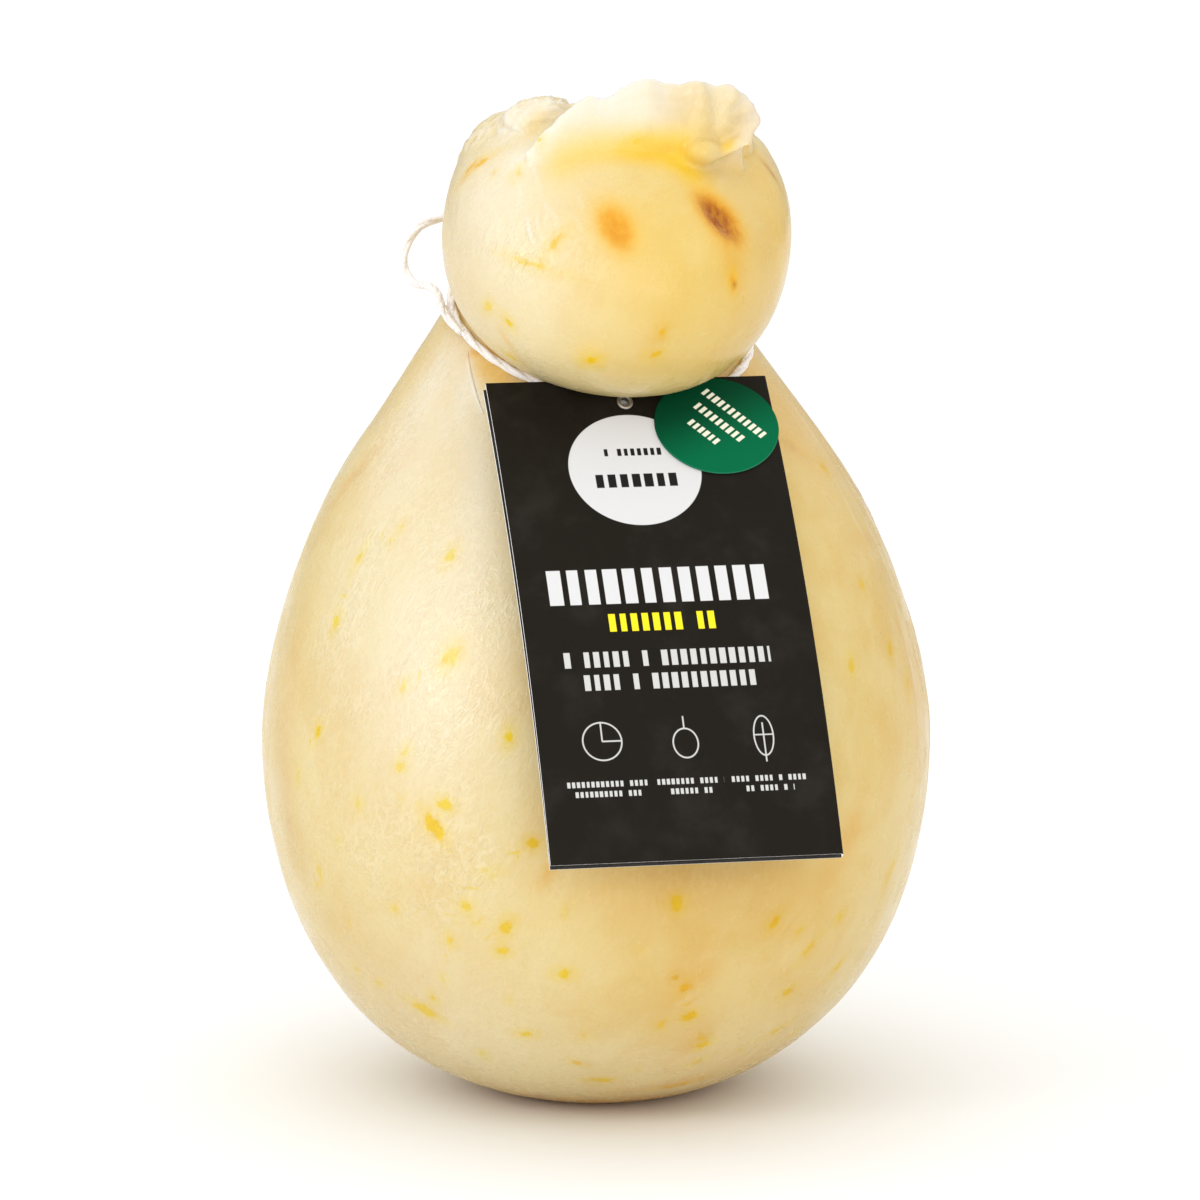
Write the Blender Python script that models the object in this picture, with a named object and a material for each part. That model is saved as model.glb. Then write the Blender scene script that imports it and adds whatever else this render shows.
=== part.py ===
"""A pear-shaped stretched-curd cheese, tied at the neck, with a folded card tag.

The cheese is one solid: a body that has settled on a small flat underside, a neck, and a head
that has flopped forward over it, with the torn lip of its closure standing up on top. Twine runs
round the neck and makes one short free loop at the left. A card of two leaves, folded at its
right edge, is tucked in under the head, with a round sticker on it and an eyelet in it.

Metres, +Z up. The origin is the middle of the flat underside. The head leans towards -Y.
"""

import math

import bmesh
import bpy
from mathutils import Matrix, Vector

MM = 0.001

# Body: a turned form, flattened below, round at the belly and a straight cone up to the neck.
BELLY_RADIUS = 75.4 * MM
BELLY_HEIGHT = 79.6 * MM
SETTLED = 1.7 * MM                 # how much of the round underside has gone flat
UNDERSIDE_HEIGHT_POWER = 2.13
UNDERSIDE_RADIUS_POWER = 2.29
BELLY_HANDLE = 19.3 * MM           # how far the belly stays upright above its widest line
SHOULDER_HANDLE = 28.0 * MM        # how far the cone reaches down into the belly's curve
CONE_ANGLE = math.radians(35.0)    # of the shoulder's side, from the vertical
CONE_START_HEIGHT = 148.8 * MM
NECK_HEIGHT = 180.0 * MM
NECK_RADIUS = 29.9 * MM
CONE_TOP_HEIGHT = 198.0 * MM       # inside the head
NECK_LEAN = 1.8 * MM               # sideways, to the left, by the height of the neck
NECK_FLATNESS = 0.10               # how much shallower than wide the neck is
LEAN_SPAN = 90.0 * MM
FLATNESS_SPAN = 85.0 * MM
BODY_SEGMENTS = 56
UNDERSIDE_RINGS = 12
BELLY_RINGS = 10
CONE_RINGS = 7

# Head: a squarish ball, its long axis drooping forward, rolled a little to the right.
HEAD_CENTRE = Vector((4.7, -30.0, 195.7)) * MM
HEAD_HALF_SIZE = Vector((37.8, 42.5, 29.1)) * MM
HEAD_POWER = 2.17
HEAD_DROOP = math.radians(30.0)
HEAD_ROLL = math.radians(8.6)
HEAD_SEGMENTS = 44
HEAD_RINGS = 26

# The nape joins the head's back to the neck, square to the tilted tie.
NAPE_CENTRE = Vector((3.2, -6.0, 198.5)) * MM
NAPE_HALF_SIZE = Vector((34.0, 33.0, 20.5)) * MM
NAPE_TILT = math.radians(25.0)

# Closure on the head's top. Points are in millimetres from the head's centre.
TOP_LEVEL = 27.5                   # above which the head's top is pressed flat
TOP_FALL = 0.14                    # how the flat top falls towards the back
TOP_SOFTNESS = 2.0
PIT_CENTRE = Vector((7.0, 0.0, 26.0))
PIT_SPREAD = 13.0
PIT_DEPTH = 8.0
LIP_RUNGS = [                      # foot on the head, edge of the sheet, left to right
    ((-19.0, -22.5, 15.5), (-20.0, -25.0, 18.2)),
    ((-16.0, -23.0, 16.5), (-16.5, -24.0, 21.9)),
    ((-12.0, -23.0, 17.2), (-12.3, -22.0, 25.9)),
    ((-6.5, -22.5, 17.8), (-6.8, -20.0, 29.9)),
    ((-2.5, -22.5, 18.0), (-3.2, -20.3, 29.5)),
    ((1.5, -22.0, 18.0), (0.6, -20.0, 31.9)),
    ((6.0, -21.5, 17.9), (5.8, -20.0, 34.0)),
    ((11.0, -20.5, 17.5), (12.0, -18.6, 32.6)),
    ((15.3, -19.4, 17.0), (16.8, -20.4, 33.7)),
    ((18.3, -18.1, 16.7), (20.1, -18.6, 32.6)),
    ((20.5, -16.8, 16.6), (23.2, -18.6, 33.0)),
    ((22.5, -16.0, 16.3), (26.8, -17.0, 30.7)),
    ((24.2, -15.6, 15.8), (28.9, -17.0, 27.4)),
    ((25.6, -15.6, 15.0), (29.4, -18.0, 24.0)),
]
LIP_FOOT_THICKNESS = 4.4
LIP_FOOT_TO_RISE = 0.38            # a low stretch of the lip is thinner at its foot
LIP_EDGE_THICKNESS = 1.6
LIP_STEPS = 2                      # stations from one rung to the next
LIP_LEVELS = 4
LIP_HOLLOW = 1.2                   # how far the lip's face hollows between foot and edge
LIP_FULL_RISE = 10.0

# Lobes of dough round the closure: centre, half sizes, turn about the upright, all from the head.
CLOSURE_LOBES = [
    ((-16.5, -8.0, 25.2), (8.0, 7.0, 4.6), 20.0),
    ((-9.5, -10.0, 23.6), (6.0, 6.5, 4.4), -35.0),
    ((17.8, -21.0, 17.4), (5.6, 4.2, 3.6), -10.0),
    ((25.0, -18.5, 19.0), (4.2, 3.0, 3.4), -25.0),
    ((-8.5, 3.5, 23.4), (8.0, 8.5, 3.8), -40.0),
    ((4.5, 11.5, 23.6), (11.0, 6.5, 4.6), 8.0),
    ((16.5, 6.0, 22.6), (9.5, 7.5, 4.8), -38.0),
    ((23.0, -6.0, 19.4), (6.0, 9.5, 4.6), -8.0),
]
LOBE_SEGMENTS = 14
LOBE_RINGS = 8

# Twine: the tie lies in the crease, on a plane that tilts forward with the head.
TWINE_RADIUS = 0.95 * MM
TWINE_STAND_OFF = 1.3 * MM         # from the cheese's skin to the twine's middle
TWINE_CHANNEL_RADIUS = 1.25 * MM   # room for the twine where the chin hangs over it
TIE_HEIGHT = 180.2 * MM            # of the tie's plane on the part's own axis
TIE_FORWARD_SLOPE = 0.474
TIE_SIDE_SLOPE = -0.1265
TIE_POINTS = 64
TIE_BACK_GAP = math.radians(9.5)   # half the angle that the knot takes up
KNOT_HALF_SIZE = Vector((4.0, 2.7, 3.0)) * MM
KNOT_GAP = 0.35 * MM

# The free loop's route, from the tie at the left round to the knot, in millimetres.
LOOP_ROUTE = [(-34.0, -13.8, 178.6), (-34.6, -9.3, 180.2), (-35.5, -3.8, 181.2),
              (-36.7, 2.2, 181.8), (-38.8, 6.0, 182.2), (-41.3, 9.0, 182.7),
              (-43.2, 12.0, 185.1), (-43.4, 14.0, 188.4), (-42.2, 16.0, 192.0),
              (-39.3, 18.5, 195.0), (-35.2, 21.0, 196.4), (-29.0, 24.5, 196.8),
              (-21.5, 27.5, 195.6), (-13.5, 28.6, 193.6), (-5.6, 28.2, 192.2)]
LOOP_POINTS = 34

# Tag: two leaves of card, folded at the right, bent a little as it leans on the belly.
TAG_WIDTH = 64.0 * MM
TAG_LENGTH = 108.0 * MM
TAG_TOP = Vector((6.9, -40.4, 164.6)) * MM
TAG_TURN = math.radians(16.8)      # about the upright, towards the right
TAG_TOP_PITCH = math.radians(34.5)
TAG_FOOT_PITCH = math.radians(18.5)
LEAF_THICKNESS = 0.35 * MM
LEAF_GAP = 0.30 * MM
TAG_STATIONS = 14
TAG_CLEARANCE = 0.35 * MM
TUCKED_LENGTH = 16.0 * MM          # how far down the card the head's chin may reach

STICKER_RADIUS = 13.1 * MM
STICKER_CENTRE = (18.3 * MM, 11.0 * MM)
STICKER_THICKNESS = 0.25 * MM
STICKER_GAP = 0.30 * MM
STICKER_SEGMENTS = 40

EYELET_CENTRE = (-1.5 * MM, 5.6 * MM)
EYELET_HOLE_RADIUS = 1.0 * MM
EYELET_BARREL_RADIUS = 1.3 * MM
EYELET_FLANGE_RADIUS = 1.85 * MM
EYELET_FLANGE_THICKNESS = 0.25 * MM
EYELET_GAP = 0.30 * MM
EYELET_SEGMENTS = 18
CARD_HOLE_RADIUS = EYELET_BARREL_RADIUS + EYELET_GAP
PUNCH_LENGTH = 6.0 * MM

MATERIALS = {
    "rind": ((0.86, 0.74, 0.47), 0.42, 0.0),
    "twine": ((0.86, 0.82, 0.74), 0.85, 0.0),
    "card": ((0.022, 0.019, 0.015), 0.55, 0.0),
    "sticker": ((0.0, 0.16, 0.07), 0.35, 0.0),
    "eyelet": ((0.62, 0.60, 0.54), 0.35, 1.0),
}


# ---------------------------------------------------------------- helpers


def clear_scene():
    """Remove every object that the file starts with."""
    for obj in list(bpy.data.objects):
        bpy.data.objects.remove(obj, do_unlink=True)


def make_material(name):
    """One plain Principled material from the table above."""
    colour, roughness, metallic = MATERIALS[name]
    material = bpy.data.materials.new(name)
    material.use_nodes = True
    shader = material.node_tree.nodes["Principled BSDF"]
    shader.inputs["Base Color"].default_value = (*colour, 1.0)
    shader.inputs["Roughness"].default_value = roughness
    shader.inputs["Metallic"].default_value = metallic
    return material


def add_mesh_object(name, bm, material, smooth_angle=math.radians(40.0)):
    """Turn a bmesh into a linked, smooth-shaded object."""
    bmesh.ops.recalc_face_normals(bm, faces=bm.faces)
    mesh = bpy.data.meshes.new(name)
    bm.to_mesh(mesh)
    bm.free()
    mesh.shade_smooth()
    mesh.set_sharp_from_angle(angle=smooth_angle)
    if material is not None:
        mesh.materials.append(material)
    obj = bpy.data.objects.new(name, mesh)
    bpy.context.scene.collection.objects.link(obj)
    return obj


def loft(rings, cap=True):
    """A closed mesh through rings of equally many points, with its two ends filled."""
    bm = bmesh.new()
    loops = [[bm.verts.new(point) for point in ring] for ring in rings]
    for lower, upper in zip(loops, loops[1:]):
        for i in range(len(lower)):
            j = (i + 1) % len(lower)
            bm.faces.new((lower[i], lower[j], upper[j], upper[i]))
    if cap:
        bm.faces.new(list(reversed(loops[0])))
        bm.faces.new(loops[-1])
    return bm


def bezier(p0, p1, p2, p3, t):
    """A point on a cubic curve."""
    s = 1.0 - t
    return p0 * s ** 3 + p1 * (3 * s * s * t) + p2 * (3 * s * t * t) + p3 * t ** 3


def through(points, steps):
    """A smooth curve through the given points, with this many steps from each to the next."""
    knots = [Vector(p) for p in points]
    ends = [knots[0] * 2 - knots[1]] + knots + [knots[-1] * 2 - knots[-2]]
    fine = []
    for k in range(1, len(ends) - 2):
        a, b, c, d = ends[k - 1:k + 3]
        for i in range(steps):
            t = i / steps
            fine.append(0.5 * (2 * b + (c - a) * t + (2 * a - 5 * b + 4 * c - d) * t * t
                               + (3 * b - a - 3 * c + d) * t ** 3))
    return fine + [knots[-1]]


def smooth_route(points, count):
    """Even points along a smooth curve through the given ones."""
    return resample(through(points, 16), count)


def resample(fine, count):
    """The given polyline cut into equal lengths."""
    reach = [0.0]
    for a, b in zip(fine, fine[1:]):
        reach.append(reach[-1] + (b - a).length)
    out = []
    k = 0
    for i in range(count):
        want = reach[-1] * i / (count - 1)
        while k < len(fine) - 2 and reach[k + 1] < want:
            k += 1
        span = reach[k + 1] - reach[k]
        out.append(fine[k].lerp(fine[k + 1], (want - reach[k]) / span if span else 0.0))
    return out


def add_tube(name, points, radius, material):
    """A round tube along a polyline, with filled ends."""
    curve = bpy.data.curves.new(name, "CURVE")
    curve.dimensions = "3D"
    curve.bevel_depth = radius
    curve.bevel_resolution = 2
    curve.use_fill_caps = True
    spline = curve.splines.new("POLY")
    spline.points.add(len(points) - 1)
    for target, point in zip(spline.points, points):
        target.co = (*point, 1.0)
    if material is not None:
        curve.materials.append(material)
    obj = bpy.data.objects.new(name, curve)
    bpy.context.scene.collection.objects.link(obj)
    return obj


def ring_tube(points, radius, sides=10):
    """A closed ring of tube through points that come back to their start."""
    bm = bmesh.new()
    loops = []
    for i, point in enumerate(points):
        along = (points[(i + 1) % len(points)] - points[i - 1]).normalized()
        side = along.cross(Vector((0.0, 0.0, 1.0))).normalized()
        up = side.cross(along)
        angles = [2 * math.pi * k / sides for k in range(sides)]
        loops.append([bm.verts.new(point + side * math.cos(a) * radius + up * math.sin(a) * radius)
                      for a in angles])
    for i, loop in enumerate(loops):
        ahead = loops[(i + 1) % len(loops)]
        for k in range(sides):
            j = (k + 1) % sides
            bm.faces.new((loop[k], loop[j], ahead[j], ahead[k]))
    return bm


def make_cutter(obj):
    """Mark an object as a tool that is not part of the model."""
    obj.hide_render = True
    obj.display_type = "WIRE"
    return obj


def cut(target, cutter):
    """Take a cutter's volume out of an object."""
    modifier = target.modifiers.new("cut_" + cutter.name, "BOOLEAN")
    modifier.operation = "DIFFERENCE"
    modifier.object = cutter
    return modifier


# ---------------------------------------------------------------- body form


def underside_radius(height):
    """The body's radius from the flat underside up to the belly."""
    ratio = (BELLY_HEIGHT - height) / (BELLY_HEIGHT + SETTLED)
    return BELLY_RADIUS * (1.0 - ratio ** UNDERSIDE_HEIGHT_POWER) ** (1.0 / UNDERSIDE_RADIUS_POWER)


def shoulder_point(t):
    """Radius and height on the curve from the belly to the start of the cone."""
    cone_start_radius = cone_radius(CONE_START_HEIGHT)
    across = Vector((math.sin(CONE_ANGLE), -math.cos(CONE_ANGLE)))
    start = Vector((BELLY_RADIUS, BELLY_HEIGHT))
    end = Vector((cone_start_radius, CONE_START_HEIGHT))
    return bezier(start, start + Vector((0.0, BELLY_HANDLE)), end + across * SHOULDER_HANDLE, end, t)


def cone_radius(height):
    """The radius of the straight cone below and inside the head."""
    return NECK_RADIUS + (NECK_HEIGHT - height) * math.tan(CONE_ANGLE)


def body_radius(height):
    """The body's radius at any height."""
    if height <= BELLY_HEIGHT:
        return underside_radius(height)
    if height >= CONE_START_HEIGHT:
        return cone_radius(height)
    low, high = 0.0, 1.0
    for _ in range(30):
        middle = (low + high) / 2
        if shoulder_point(middle).y < height:
            low = middle
        else:
            high = middle
    return shoulder_point(low).x


def body_lean(height):
    """How far the body's middle stands to the left at a height."""
    return -NECK_LEAN * max(0.0, (height - BELLY_HEIGHT) / LEAN_SPAN) ** 2


def body_depth(height):
    """Depth over width at a height."""
    return 1.0 - NECK_FLATNESS * min(1.0, max(0.0, (height - BELLY_HEIGHT) / FLATNESS_SPAN))


def body_point(angle, height, radius):
    """A point round the body; angle 0 is +X and a quarter turn on is +Y."""
    return Vector((body_lean(height) + radius * math.cos(angle),
                   radius * math.sin(angle) * body_depth(height), height))


def body_rings():
    """Rings of the body's skin from the flat underside to the cone's hidden top."""
    profile = []
    for i in range(UNDERSIDE_RINGS):
        height = BELLY_HEIGHT * (1.0 - math.cos(math.pi / 2 * i / UNDERSIDE_RINGS))
        profile.append((underside_radius(height), height))
    for i in range(BELLY_RINGS):
        point = shoulder_point(i / BELLY_RINGS)
        profile.append((point.x, point.y))
    for i in range(CONE_RINGS + 1):
        height = CONE_START_HEIGHT + (CONE_TOP_HEIGHT - CONE_START_HEIGHT) * i / CONE_RINGS
        profile.append((cone_radius(height), height))
    return [[body_point(2 * math.pi * k / BODY_SEGMENTS, height, radius)
             for k in range(BODY_SEGMENTS)] for radius, height in profile]


# ---------------------------------------------------------------- head and closure


def head_turn():
    """The head's own axes: drooping forward, then rolled to the right."""
    return Matrix.Rotation(HEAD_ROLL, 3, "Y") @ Matrix.Rotation(HEAD_DROOP, 3, "X")


def head_form():
    """The head's ball, pressed in at the pit of its closure."""
    bm = bmesh.new()
    bmesh.ops.create_uvsphere(bm, u_segments=HEAD_SEGMENTS, v_segments=HEAD_RINGS, radius=1.0)
    turn = head_turn()
    for vert in bm.verts:
        way = vert.co.normalized()
        reach = sum(abs(way[k] / HEAD_HALF_SIZE[k]) ** HEAD_POWER for k in range(3))
        point = turn @ (way * reach ** (-1.0 / HEAD_POWER)) / MM
        above = (point.z - TOP_LEVEL + TOP_FALL * point.y) / TOP_SOFTNESS
        point.z -= TOP_SOFTNESS * math.log(1.0 + math.exp(above))
        from_pit = (point - PIT_CENTRE).length / PIT_SPREAD
        point.z -= PIT_DEPTH * math.exp(-from_pit * from_pit)
        vert.co = HEAD_CENTRE + point * MM
    return bm


def ellipsoid(centre, half_size, turn, segments, rings):
    """A closed ball of three half sizes, turned and placed."""
    bm = bmesh.new()
    bmesh.ops.create_uvsphere(bm, u_segments=segments, v_segments=rings, radius=1.0)
    for vert in bm.verts:
        vert.co = centre + turn @ Vector([vert.co[k] * half_size[k] for k in range(3)])
    return bm


def lip_form():
    """The torn lip: a sheet from its foot on the head to its uneven edge, thinning upwards."""
    feet = through([foot for foot, _ in LIP_RUNGS], LIP_STEPS)
    edges = through([edge for _, edge in LIP_RUNGS], LIP_STEPS)
    rings = []
    for i, (foot, edge) in enumerate(zip(feet, edges)):
        before, after = max(i - 1, 0), min(i + 1, len(feet) - 1)
        along = feet[after] - feet[before] + edges[after] - edges[before]
        rise = edge - foot
        out = along.cross(rise).normalized()
        foot_thickness = min(LIP_FOOT_THICKNESS, LIP_FOOT_TO_RISE * rise.length)
        edge_thickness = min(LIP_EDGE_THICKNESS, foot_thickness)
        front, back = [], []
        for level in range(LIP_LEVELS + 1):
            t = level / LIP_LEVELS
            hollow = LIP_HOLLOW * math.sin(math.pi * t) * min(1.0, rise.length / LIP_FULL_RISE)
            middle = foot + rise * t + out * hollow
            half = 0.5 * (foot_thickness * (1 - t) + edge_thickness * t)
            front.append(HEAD_CENTRE + (middle - out * half) * MM)
            back.append(HEAD_CENTRE + (middle + out * half) * MM)
        rings.append(front + list(reversed(back)))
    return loft(rings)


def make_cheese(material):
    """Body, head, nape, lip and lobes joined into one solid."""
    body = add_mesh_object("cheese", loft(body_rings()), material)
    joined = bpy.data.collections.new("joined_to_body")
    nape_turn = Matrix.Rotation(NAPE_TILT, 3, "X")
    forms = [head_form(), ellipsoid(NAPE_CENTRE, NAPE_HALF_SIZE, nape_turn, 28, 14), lip_form()]
    for centre, half_size, turn in CLOSURE_LOBES:
        forms.append(ellipsoid(HEAD_CENTRE + Vector(centre) * MM, Vector(half_size) * MM,
                               Matrix.Rotation(math.radians(turn), 3, "Z"),
                               LOBE_SEGMENTS, LOBE_RINGS))
    for form in forms:
        obj = add_mesh_object("form", form, material)
        bpy.context.scene.collection.objects.unlink(obj)
        joined.objects.link(obj)
    union = body.modifiers.new("join", "BOOLEAN")
    union.operation = "UNION"
    union.operand_type = "COLLECTION"
    union.collection = joined
    apply_modifiers(body)
    for obj in list(joined.objects):
        bpy.data.objects.remove(obj, do_unlink=True)
    bpy.data.collections.remove(joined)
    return body


def apply_modifiers(obj):
    """Replace an object's mesh by what its modifiers make of it."""
    bpy.context.view_layer.update()
    shaped = obj.evaluated_get(bpy.context.evaluated_depsgraph_get())
    mesh = bpy.data.meshes.new_from_object(shaped)
    obj.modifiers.clear()
    obj.data = mesh


# ---------------------------------------------------------------- twine


def tie_point(angle):
    """A point of the tie: on its tilted plane, just off the cone's skin."""
    height = NECK_HEIGHT
    for _ in range(40):
        radius = cone_radius(height) + TWINE_STAND_OFF / math.cos(CONE_ANGLE)
        point = body_point(angle, height, radius)
        height = TIE_HEIGHT + TIE_FORWARD_SLOPE * point.y + TIE_SIDE_SLOPE * point.x
    return body_point(angle, height, radius)


def tie_route():
    """The tie round the neck, open at the back where the knot is."""
    start = math.pi / 2 + TIE_BACK_GAP
    sweep = 2 * math.pi - 2 * TIE_BACK_GAP
    return [tie_point(start + sweep * i / TIE_POINTS) for i in range(TIE_POINTS + 1)]


def make_knot(material):
    """The knot at the back of the neck, where the tie's ends and the loop meet."""
    back = tie_point(math.pi / 2)
    outward = Vector((0.0, math.cos(CONE_ANGLE), math.sin(CONE_ANGLE)))
    centre = back + outward * (KNOT_HALF_SIZE.y + KNOT_GAP - TWINE_STAND_OFF)
    turn = Matrix.Rotation(CONE_ANGLE, 3, "X")
    return add_mesh_object("twine_knot", ellipsoid(centre, KNOT_HALF_SIZE, turn, 16, 10), material)


# ---------------------------------------------------------------- card tag


def tag_point(across, down, out):
    """A point on the bent card: across to the right, down its face, out from its face."""
    steps = 24
    y, z = 0.0, 0.0
    for i in range(steps):
        pitch = tag_pitch(down * (i + 0.5) / steps)
        y -= math.sin(pitch) * down / steps
        z -= math.cos(pitch) * down / steps
    pitch = tag_pitch(down)
    local = Vector((across, y - math.cos(pitch) * out, z + math.sin(pitch) * out))
    return TAG_TOP + Matrix.Rotation(TAG_TURN, 3, "Z") @ local


def tag_pitch(down):
    """The card's lean from the vertical, less towards its foot."""
    return TAG_TOP_PITCH + (TAG_FOOT_PITCH - TAG_TOP_PITCH) * down / TAG_LENGTH


def card_loft(outline, start, end, stations):
    """A bent bar of card: an outline of (across, out) points carried down the tag."""
    rings = []
    for i in range(stations + 1):
        down = start + (end - start) * i / stations
        rings.append([tag_point(across, down, out) for across, out in outline])
    return loft(rings)


def make_tag(material):
    """The folded card: two leaves, a narrow gap and the fold at the right."""
    left, right = -TAG_WIDTH / 2, TAG_WIDTH / 2
    inner = right - LEAF_THICKNESS
    back_face = -(2 * LEAF_THICKNESS + LEAF_GAP)
    outline = [(left, 0.0), (right, 0.0), (right, back_face), (left, back_face),
               (left, back_face + LEAF_THICKNESS), (inner, back_face + LEAF_THICKNESS),
               (inner, -LEAF_THICKNESS), (left, -LEAF_THICKNESS)]
    tag = add_mesh_object("tag_card", card_loft(outline, 0.0, TAG_LENGTH, TAG_STATIONS), material)
    normal = (tag_point(*EYELET_CENTRE, MM) - tag_point(*EYELET_CENTRE, 0.0)).normalized()
    punch = bmesh.new()
    bmesh.ops.create_cone(punch, cap_ends=True, segments=EYELET_SEGMENTS, radius1=CARD_HOLE_RADIUS,
                          radius2=CARD_HOLE_RADIUS, depth=PUNCH_LENGTH,
                          matrix=Matrix.Translation(tag_point(*EYELET_CENTRE, back_face / 2))
                          @ normal.to_track_quat("Z", "Y").to_matrix().to_4x4())
    cut(tag, make_cutter(add_mesh_object("card_punch", punch, None)))
    return tag


def turned_on_tag(profile, centre):
    """A form turned about the card's normal from (radius, out) points."""
    across, down = centre
    middle = tag_point(across, down, 0.0)
    normal = (tag_point(across, down, MM) - middle).normalized()
    side = (tag_point(across + MM, down, 0.0) - middle).normalized()
    up = normal.cross(side)
    bm = bmesh.new()
    columns = []
    for k in range(EYELET_SEGMENTS):
        angle = 2 * math.pi * k / EYELET_SEGMENTS
        way = side * math.cos(angle) + up * math.sin(angle)
        columns.append([bm.verts.new(middle + way * radius + normal * out)
                        for radius, out in profile])
    count = len(profile)
    for k in range(EYELET_SEGMENTS):
        one, two = columns[k], columns[(k + 1) % EYELET_SEGMENTS]
        for i in range(count):
            j = (i + 1) % count
            bm.faces.new((one[i], one[j], two[j], two[i]))
    return bm


def make_eyelet(material):
    """A flanged eyelet through both leaves."""
    back_face = -(2 * LEAF_THICKNESS + LEAF_GAP)
    top = EYELET_GAP + EYELET_FLANGE_THICKNESS
    profile = [(EYELET_HOLE_RADIUS, top), (EYELET_FLANGE_RADIUS, top),
               (EYELET_FLANGE_RADIUS, EYELET_GAP), (EYELET_BARREL_RADIUS, EYELET_GAP),
               (EYELET_BARREL_RADIUS, back_face), (EYELET_HOLE_RADIUS, back_face)]
    return add_mesh_object("eyelet", turned_on_tag(profile, EYELET_CENTRE), material)


def make_sticker(material):
    """The round sticker, bent with the card."""
    across, down = STICKER_CENTRE
    rings = []
    for out in (STICKER_GAP, STICKER_GAP + STICKER_THICKNESS):
        ring = []
        for k in range(STICKER_SEGMENTS):
            angle = 2 * math.pi * k / STICKER_SEGMENTS
            ring.append(tag_point(across + STICKER_RADIUS * math.cos(angle),
                                  down + STICKER_RADIUS * math.sin(angle), out))
        rings.append(ring)
    return add_mesh_object("sticker", loft(rings), material)


def make_tuck_cutter():
    """The room that the head's chin leaves for the card and the sticker."""
    half = TAG_WIDTH / 2 + TAG_CLEARANCE
    front = STICKER_GAP + STICKER_THICKNESS + TAG_CLEARANCE
    back = -(2 * LEAF_THICKNESS + LEAF_GAP + TAG_CLEARANCE)
    outline = [(-half, front), (half, front), (half, back), (-half, back)]
    top = STICKER_CENTRE[1] - STICKER_RADIUS - TAG_CLEARANCE
    return add_mesh_object("tuck_cutter", card_loft(outline, top, TUCKED_LENGTH, 6), None)


# ---------------------------------------------------------------- the object


def main():
    """Build every sub-part."""
    clear_scene()
    materials = {name: make_material(name) for name in MATERIALS}
    cheese = make_cheese(materials["rind"])
    route = tie_route()
    closed = [tie_point(2 * math.pi * i / TIE_POINTS) for i in range(TIE_POINTS)]
    channel = add_mesh_object("tie_channel", ring_tube(closed, TWINE_CHANNEL_RADIUS), None)
    cut(cheese, make_cutter(channel))
    cut(cheese, make_cutter(make_tuck_cutter()))
    add_tube("twine_tie", route, TWINE_RADIUS, materials["twine"])
    make_knot(materials["twine"])
    loop = smooth_route([Vector(p) * MM for p in LOOP_ROUTE], LOOP_POINTS)
    add_tube("twine_loop", loop, TWINE_RADIUS, materials["twine"])
    make_tag(materials["card"])
    make_sticker(materials["sticker"])
    make_eyelet(materials["eyelet"])


main()
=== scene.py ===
"""A pear-shaped stretched-curd cheese, tied with twine, with a folded card tag: the dressed model.

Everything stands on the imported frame, in metres, with +Z up. The origin is the middle of the flat
spot that the cheese rests on, the head flops towards -Y, and the twine's free loop is on -X.
Marks on the skin are named by the column and row where they show in the 1200 x 1200 view, and are
then cast from the camera onto the skin, so they lie on it from any side.
"""

import logging
import math
import random
from dataclasses import dataclass
from enum import Enum

import bmesh
import bpy
import numpy as np
from mathutils import Matrix, Vector, noise
from mathutils.bvhtree import BVHTree


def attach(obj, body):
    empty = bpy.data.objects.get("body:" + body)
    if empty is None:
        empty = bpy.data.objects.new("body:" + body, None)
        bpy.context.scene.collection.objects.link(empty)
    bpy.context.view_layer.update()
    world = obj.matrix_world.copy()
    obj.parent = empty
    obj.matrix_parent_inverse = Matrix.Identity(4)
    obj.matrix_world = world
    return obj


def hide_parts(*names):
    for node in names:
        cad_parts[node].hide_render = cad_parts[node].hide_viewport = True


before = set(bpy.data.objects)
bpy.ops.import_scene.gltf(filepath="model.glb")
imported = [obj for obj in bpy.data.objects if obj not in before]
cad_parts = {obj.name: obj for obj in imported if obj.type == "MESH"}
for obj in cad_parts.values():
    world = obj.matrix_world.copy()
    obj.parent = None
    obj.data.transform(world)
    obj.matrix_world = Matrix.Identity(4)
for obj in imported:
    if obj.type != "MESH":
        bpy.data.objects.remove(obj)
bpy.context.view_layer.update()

LOG = logging.getLogger("cheese")
MM = 0.001
BODY = "root"
Colour = tuple[float, float, float]
Point = tuple[float, float, float]
Pair = tuple[float, float]
Object = bpy.types.Object
Material = bpy.types.Material
Socket = bpy.types.NodeSocket


# ---- small helpers


def settle() -> None:
    """Go to object mode with nothing selected."""
    if bpy.context.object and bpy.context.object.mode != "OBJECT":
        bpy.ops.object.mode_set(mode="OBJECT")
    bpy.ops.object.select_all(action="DESELECT")


def pick(obj: Object) -> None:
    """Make one object the selected, active one.

    Args:
        obj: the object to work on next.
    """
    settle()
    obj.select_set(True)
    bpy.context.view_layer.objects.active = obj


def named(name: str) -> Object:
    """Name the object that an operator has just added.

    Args:
        name: the piece's name.

    Returns:
        The active object.
    """
    obj = bpy.context.object
    obj.name = name
    obj.data.name = name
    return obj


def apply_modifier(obj: Object, kind: str, **values: object) -> None:
    """Add a modifier with these values and apply it.

    Args:
        obj: the object to change.
        kind: Blender's name of the modifier's type.
        values: the modifier's own settings.
    """
    pick(obj)
    modifier = obj.modifiers.new(kind.lower(), kind)
    for name, value in values.items():
        setattr(modifier, name, value)
    bpy.ops.object.modifier_apply(modifier=modifier.name)


def bake_place(obj: Object) -> None:
    """Move an object's place, turn and size into its mesh."""
    pick(obj)
    bpy.ops.object.transform_apply(location=True, rotation=True, scale=True)


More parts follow.
